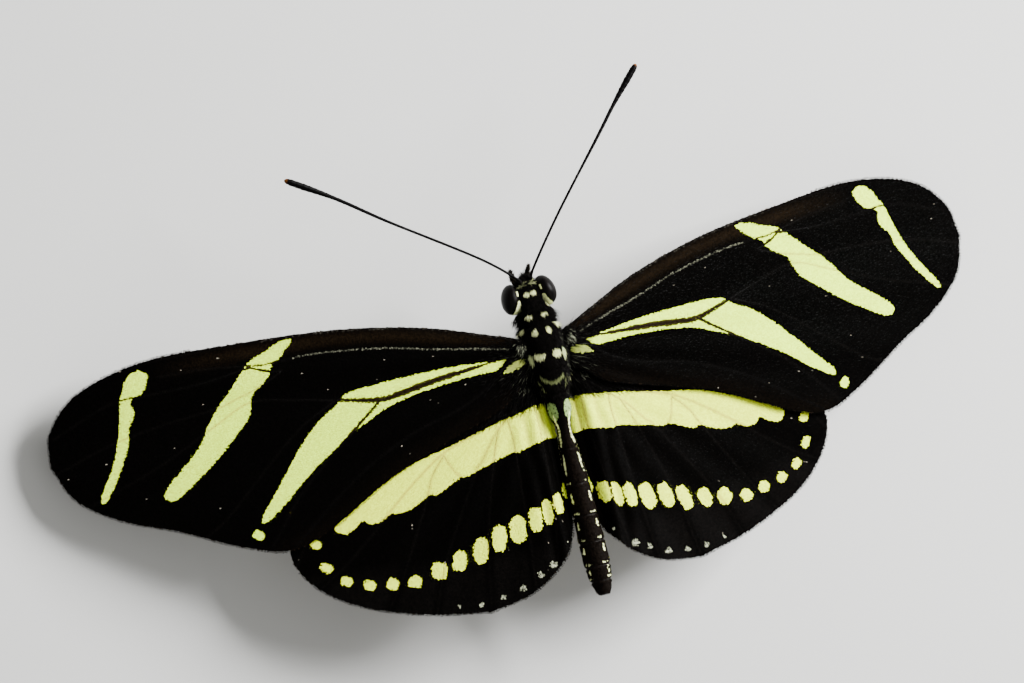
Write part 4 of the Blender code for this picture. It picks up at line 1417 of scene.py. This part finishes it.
# %% Antennae
ANTENNA_PATHS = {
    "left": [(0.62, -6.3, 0.15), (1.15, -7.0, 0.7), (4.2, -9.6, 0.8), (11.3, -14.6, 0.45),
             (15.5, -17.75, 0.2), (19.6, -20.4, 0.0)],
    "right": [(0.45, -6.5, 0.3), (0.62, -7.35, 0.7), (4.2, -11.6, 0.8), (9.8, -17.4, 0.45),
              (12.3, -20.0, 0.2), (15.2, -22.8, 0.0)]}
ANTENNA_RADII = [(0.0, 0.15), (0.03, 0.15), (0.045, 0.12), (0.5, 0.125), (0.8, 0.18), (0.92, 0.31),
                 (0.975, 0.3), (0.985, 0.27), (0.993, 0.21), (0.998, 0.12), (1.0, 0.05)]
ANTENNA_JOINTS = 42
TOOTH_LOW = 0.93
TOOTH_RISE = 0.1
PALE_JOINTS_END = 0.9
CLUB_TIP_START = 0.988
ANTENNA_BLACK = np.array([0.0008, 0.0007, 0.0007])
CLUB_TIP = np.array([0.13, 0.045, 0.009])
ANTENNA_ROWS = 900


def antenna(side_name, side):
    """A tube whose radius is the stations' times a sawtooth that repeats once for each joint."""
    path = smooth_curve(ANTENNA_PATHS[side_name], ANTENNA_ROWS) * [side, 1, 1] + [0, BODY_Y, AXIS_HEIGHT]
    share = np.linspace(0, 1, ANTENNA_ROWS)
    stations = np.array(ANTENNA_RADII)
    tooth = (share * ANTENNA_JOINTS) % 1
    radius = np.interp(share, stations[:, 0], stations[:, 1]) * (TOOTH_LOW + TOOTH_RISE * tooth)
    ringed = ramp(tooth, 0.8, 0.1) * ramp(share, PALE_JOINTS_END, -0.1)
    colours = blend(ANTENNA_BLACK, ANTENNA_BLACK * 8, ringed)
    colours = blend(colours, CLUB_TIP, ramp(share, CLUB_TIP_START, 0.008))
    return tube(path, radius, LIMB_SIDES, colours)


for side_name, side in SIDES.items():
    name = "antenna_" + side_name
    show_piece(name + "_shaft", antenna(side_name, side), horn_finish, [name])

# %% [markdown]
# ## Palps and the coiled tongue
#
# Two hairy palps stand before the face, and between them the tongue is rolled up like a watch spring. The
# palps are short tubes with hair that follows them upward. The tongue is a tube along a spiral
# whose radius shrinks with the angle.

# %% Palps
PALP_PATH = [(0.44, -5.9, -1.9), (0.55, -6.3, -2.2), (0.66, -6.9, -2.1), (0.76, -7.4, -1.5),
             (0.84, -7.72, -0.8)]
PALP_RADII = [0.16, 0.19, 0.18, 0.13, 0.05]
PALP_HAIRS = 700
PALP_ROWS = 60
PALP_BROWN = [0.026, 0.018, 0.008]


def tube_frame(path, at, turn, reference):
    """At some rows of a tube and angles round it: the heading of the path and the direction outward."""
    heading = unit(np.gradient(path, axis=0))[at]
    sideways = unit(np.cross(heading, reference))
    return heading, np.cos(turn)[:, None] * sideways + np.sin(turn)[:, None] * np.cross(heading, sideways)


def palp(side):
    """The tube and its hair: roots at random places along it and round it, all lying toward the tip."""
    path = smooth_curve(PALP_PATH, PALP_ROWS) * [side, 1, 1]
    radius = np.interp(np.linspace(0, 4, PALP_ROWS), range(5), PALP_RADII)
    stem = tube(path, radius, 16, SKIN_BLACK, reference=(1.0, 0.0, 0.0))
    at = dice.integers(4, PALP_ROWS, PALP_HAIRS)
    turn = dice.uniform(-np.pi, np.pi, PALP_HAIRS)
    heading, out = tube_frame(path, at, turn, (1.0, 0.0, 0.0))
    root = path[at] + 0.9 * radius[at][:, None] * out
    tone = np.where(dice.random((PALP_HAIRS, 1)) < 0.45, PALP_BROWN, SKIN_BLACK * 1.6)
    place = np.column_stack([at / PALP_ROWS * 0.48 + 0.5 * (side > 0), (turn + np.pi) / 6.3])
    lie = unit(heading + dice.normal(0, 0.15, root.shape))
    hair = spikes(root, lie, out, dice.uniform(0.2, 0.5, PALP_HAIRS), 0.035,
                  dice.uniform(0.2, 0.9, PALP_HAIRS), tone, 0.01 + 0.98 * place)
    return stem, hair


stems, hairs = zip(*(palp(side) for side in SIDES.values()))
show_on_body("palp_stems", joined(stems), skin_finish, ["palp_left", "palp_right"])
show_on_body("palp_hair", joined(hairs), hair_finish)

# %% Tongue
COIL_CENTRE = (0.0, -5.35, -2.9)
COIL_TURNS = 2.6
COIL_OUTER = 0.58
COIL_START = 0.9
COIL_SHRINK = 0.44
TONGUE_RADII = (0.12, 0.055)
TONGUE_BROWN = np.array([0.05, 0.028, 0.014])
turn = np.linspace(0, 2 * np.pi * COIL_TURNS, 260)
reach = COIL_OUTER - COIL_SHRINK * turn / turn[-1]
coil = COIL_CENTRE + reach[:, None] * np.stack(
    [0 * turn, -np.cos(turn + COIL_START), np.sin(turn + COIL_START)], axis=1)
lead = smooth_curve([(0.0, -5.7, -1.7), (0.0, -6.05, -2.1), tuple(coil[0])], 24)
path = np.vstack([lead[:-1], coil])
ridges = 1 + 0.07 * np.sin(np.arange(len(path)) * 1.6)
tongue = tube(path, ridges * np.linspace(*TONGUE_RADII, len(path)), LIMB_SIDES, TONGUE_BROWN,
              reference=(1.0, 0.0, 0.0), squash=1.35)
show_on_body("tongue", tongue, horn_finish, ["proboscis"])

# %% [markdown]
# ## Legs
#
# The forelegs of this family are small brushes folded against the thorax. The other four stand: a stout
# thigh, a thin shin with short spines, and a foot of five joints with two claws. One tube carries each
# leg, thinner than its solid, and spikes at random places along it are its spines and scales.

# %% Legs
LEG_PATHS = {
    "foreleg": [(0.42, -1.3, 7.75), (0.45, -2.2, 7.85), (0.45, -3.1, 8.05), (0.42, -3.8, 8.15)],
    "midleg": [(0.7, 0.3, 8.1), (0.9, 0.3, 7.75), (2.7, 0.1, 7.5), (4.8, -0.3, 6.6), (6.5, -0.6, 3.9),
               (7.6, -0.9, 1.5), (8.5, -1.2, 0.14), (9.6, -1.7, 0.12), (10.5, -2.2, 0.12)],
    "hindleg": [(0.7, 2.0, 8.3), (0.9, 2.1, 8.0), (2.4, 3.0, 7.7), (4.2, 4.2, 6.9), (5.4, 6.1, 4.1),
                (6.2, 7.6, 1.6), (6.9, 8.8, 0.14), (7.6, 10.3, 0.12), (8.1, 11.5, 0.12)]}
LEG_RADII = {"foreleg": [0.22, 0.25, 0.22, 0.12],
             "standing": [0.3, 0.3, 0.28, 0.2, 0.16, 0.13, 0.115, 0.105, 0.08]}
LEG_BLACK = np.array([0.012, 0.010, 0.009])
LEG_PALE = np.array([0.45, 0.44, 0.26])
LEG_HAIRS = 420
SPINE_SHARE = 0.25
SPINE_START = 0.45
STRIPE_HALF = 0.5
STRIPE_END = 0.75
TIP_HEIGHT = 0.06
FOOT_START = 0.72
KNOT_DEPTH = 0.22
KNOT_PACE = 110
LEG_ROWS = 240
FOOT_HEIGHT = 0.125
LEG_REFERENCE = (0.0, 1.0, 0.2)


def claws(path):
    """Two spikes at the end of a leg, one to each side of its heading."""
    ahead = unit(path[-1] - path[-8])
    aside = np.array([(ahead[1], -ahead[0], 0.0), (-ahead[1], ahead[0], 0.0)])
    down = np.tile((0.0, 0.0, -1.0), (2, 1))
    return spikes(np.tile(path[-1], (2, 1)), unit(ahead + 0.5 * aside), down, 0.22, 0.07, 0.35,
                  LEG_BLACK, np.zeros((2, 2)))


def leg(kind, side):
    """A tube with knots at the foot's joints, a pale stripe of scales, spines, and two claws at the end."""
    standing = kind != "foreleg"
    path = smooth_curve(LEG_PATHS[kind], LEG_ROWS) * [side, 1, 1] + [0, BODY_Y, 0]
    path[:, 2] = np.maximum(path[:, 2], FOOT_HEIGHT)
    stations = LEG_RADII["standing" if standing else "foreleg"]
    share = np.linspace(0, 1, LEG_ROWS)
    radius = np.interp(share * (len(stations) - 1), range(len(stations)), stations)
    knots = ramp(share, FOOT_START, 0.02) * standing * np.cos(share * KNOT_PACE)**8
    radius = radius * (1 - KNOT_DEPTH * knots)
    stem = tube(path, radius, LIMB_SIDES, LEG_BLACK, reference=LEG_REFERENCE)
    at = np.sort(dice.integers(4, LEG_ROWS - 3, LEG_HAIRS))
    turn = dice.uniform(-np.pi, np.pi, LEG_HAIRS)
    heading, out = tube_frame(path, at, turn, LEG_REFERENCE)
    root = path[at] + 0.92 * radius[at][:, None] * out
    spine = (dice.random(LEG_HAIRS) < SPINE_SHARE) & (share[at] > SPINE_START)
    striped = (np.abs(turn) < STRIPE_HALF) & (share[at] < STRIPE_END)
    tone = np.where(striped[:, None], LEG_PALE, LEG_BLACK * 1.5)
    length = np.where(spine, 0.34, 0.2) * dice.uniform(0.8, 1.2, LEG_HAIRS)
    width = np.where(spine, 0.05, 0.08 if standing else 0.045)
    rise = np.where(spine, 0.9, 0.25)
    kept = (root + length[:, None] * (heading + 0.5 * rise[:, None] * out))[:, 2] > TIP_HEIGHT
    hair = spikes(*(values[kept] for values in (root, heading, out, length, width, rise, tone)),
                  np.zeros((kept.sum(), 2)))
    return joined([stem, hair, claws(path)] if standing else [stem, hair])


for side_name, side in SIDES.items():
    for kind in LEG_PATHS:
        name = f"{kind}_{side_name}"
        show_piece(name + "_limb", leg(kind, side), horn_finish, [name])

# %% [markdown]
# ## Floor, light and camera
#
# The butterfly stands on a plain pale floor. A large soft light from its right gives the wings their
# gentle difference in brightness, two weak ones stand to its left and behind it, and the pale
# surroundings lift the shadows. The camera looks down from a little to the butterfly's left, through
# a long lens.

# %% Floor
FLOOR_REACH = 4000.0
corners = np.array([(-1, -1, 0), (1, -1, 0), (1, 1, 0), (-1, 1, 0)]) * FLOOR_REACH
floor_mesh = bpy.data.meshes.new("floor")
floor_mesh.from_pydata((corners * MM).tolist(), [], [(0, 1, 2, 3)])
floor_finish = Finish("pale_floor", Roughness=0.85, Specular_IOR_Level=0.2)
cloud = floor_finish.noise(40.0, 3.0)
floor_finish.feed(Base_Color=floor_finish.mix(cloud, (0.42, 0.42, 0.41, 1.0), (0.47, 0.47, 0.46, 1.0)))
floor_mesh.materials.append(floor_finish.material)
floor = bpy.data.objects.new("floor", floor_mesh)
bpy.context.scene.collection.objects.link(floor)

# %% Lights
LIGHTS = {"key": ((-0.30, -0.10, 0.235), 0.2, 9.5),
          "fill": ((0.4, 0.2, 0.45), 0.5, 0.6),
          "back": ((-0.1, 0.5, 0.4), 0.4, 0.8)}
for name, (place, width, power) in LIGHTS.items():
    lamp = bpy.data.lights.new(name, "AREA")
    lamp.size = width
    lamp.energy = power
    light = bpy.data.objects.new(name, lamp)
    light.location = place
    light.rotation_euler = (-light.location).to_track_quat("-Z", "Y").to_euler()
    bpy.context.scene.collection.objects.link(light)
surroundings = bpy.data.worlds.new("surroundings")
surroundings.use_nodes = True
background = surroundings.node_tree.nodes["Background"]
background.inputs["Color"].default_value = (1.0, 1.0, 0.96, 1.0)
background.inputs["Strength"].default_value = 0.52
bpy.context.scene.world = surroundings
print("lights in watts:", {name: power for name, (_, _, power) in LIGHTS.items()})

# %% Camera
VIEW_LEAN = math.radians(20.0)
VIEW_TURN = math.radians(-14.454)
VIEW_DISTANCE = 1.2
PIXELS_PER_METRE = 11300.0
FRAME_WIDTH = 1024
FRAME_CENTRE = (512.0, 341.5)
BODY_PIXEL = (544.47, 352.5)
backward = np.array([math.sin(VIEW_LEAN), 0.0, math.cos(VIEW_LEAN)])
level = np.array([-math.cos(VIEW_LEAN), 0.0, math.sin(VIEW_LEAN)])
headward = np.array([0.0, -1.0, 0.0])
right = math.cos(VIEW_TURN) * level + math.sin(VIEW_TURN) * headward
upward = math.cos(VIEW_TURN) * headward - math.sin(VIEW_TURN) * level
target = np.array([0.0, BODY_Y, AXIS_HEIGHT]) * MM
target = target - right * (BODY_PIXEL[0] - FRAME_CENTRE[0]) / PIXELS_PER_METRE
target = target + upward * (BODY_PIXEL[1] - FRAME_CENTRE[1]) / PIXELS_PER_METRE
camera_data = bpy.data.cameras.new("camera")
camera_data.sensor_width = 36.0
camera_data.lens = PIXELS_PER_METRE * VIEW_DISTANCE * camera_data.sensor_width / FRAME_WIDTH
camera_data.clip_start = 0.05
camera = bpy.data.objects.new("camera", camera_data)
bpy.context.scene.collection.objects.link(camera)
matrix = np.eye(4)
matrix[:3] = np.column_stack([right, upward, backward, target + VIEW_DISTANCE * backward])
camera.matrix_world = mathutils.Matrix(matrix.tolist())
bpy.context.scene.camera = camera
print("camera height in mm:", round(camera.location.z / MM, 1))
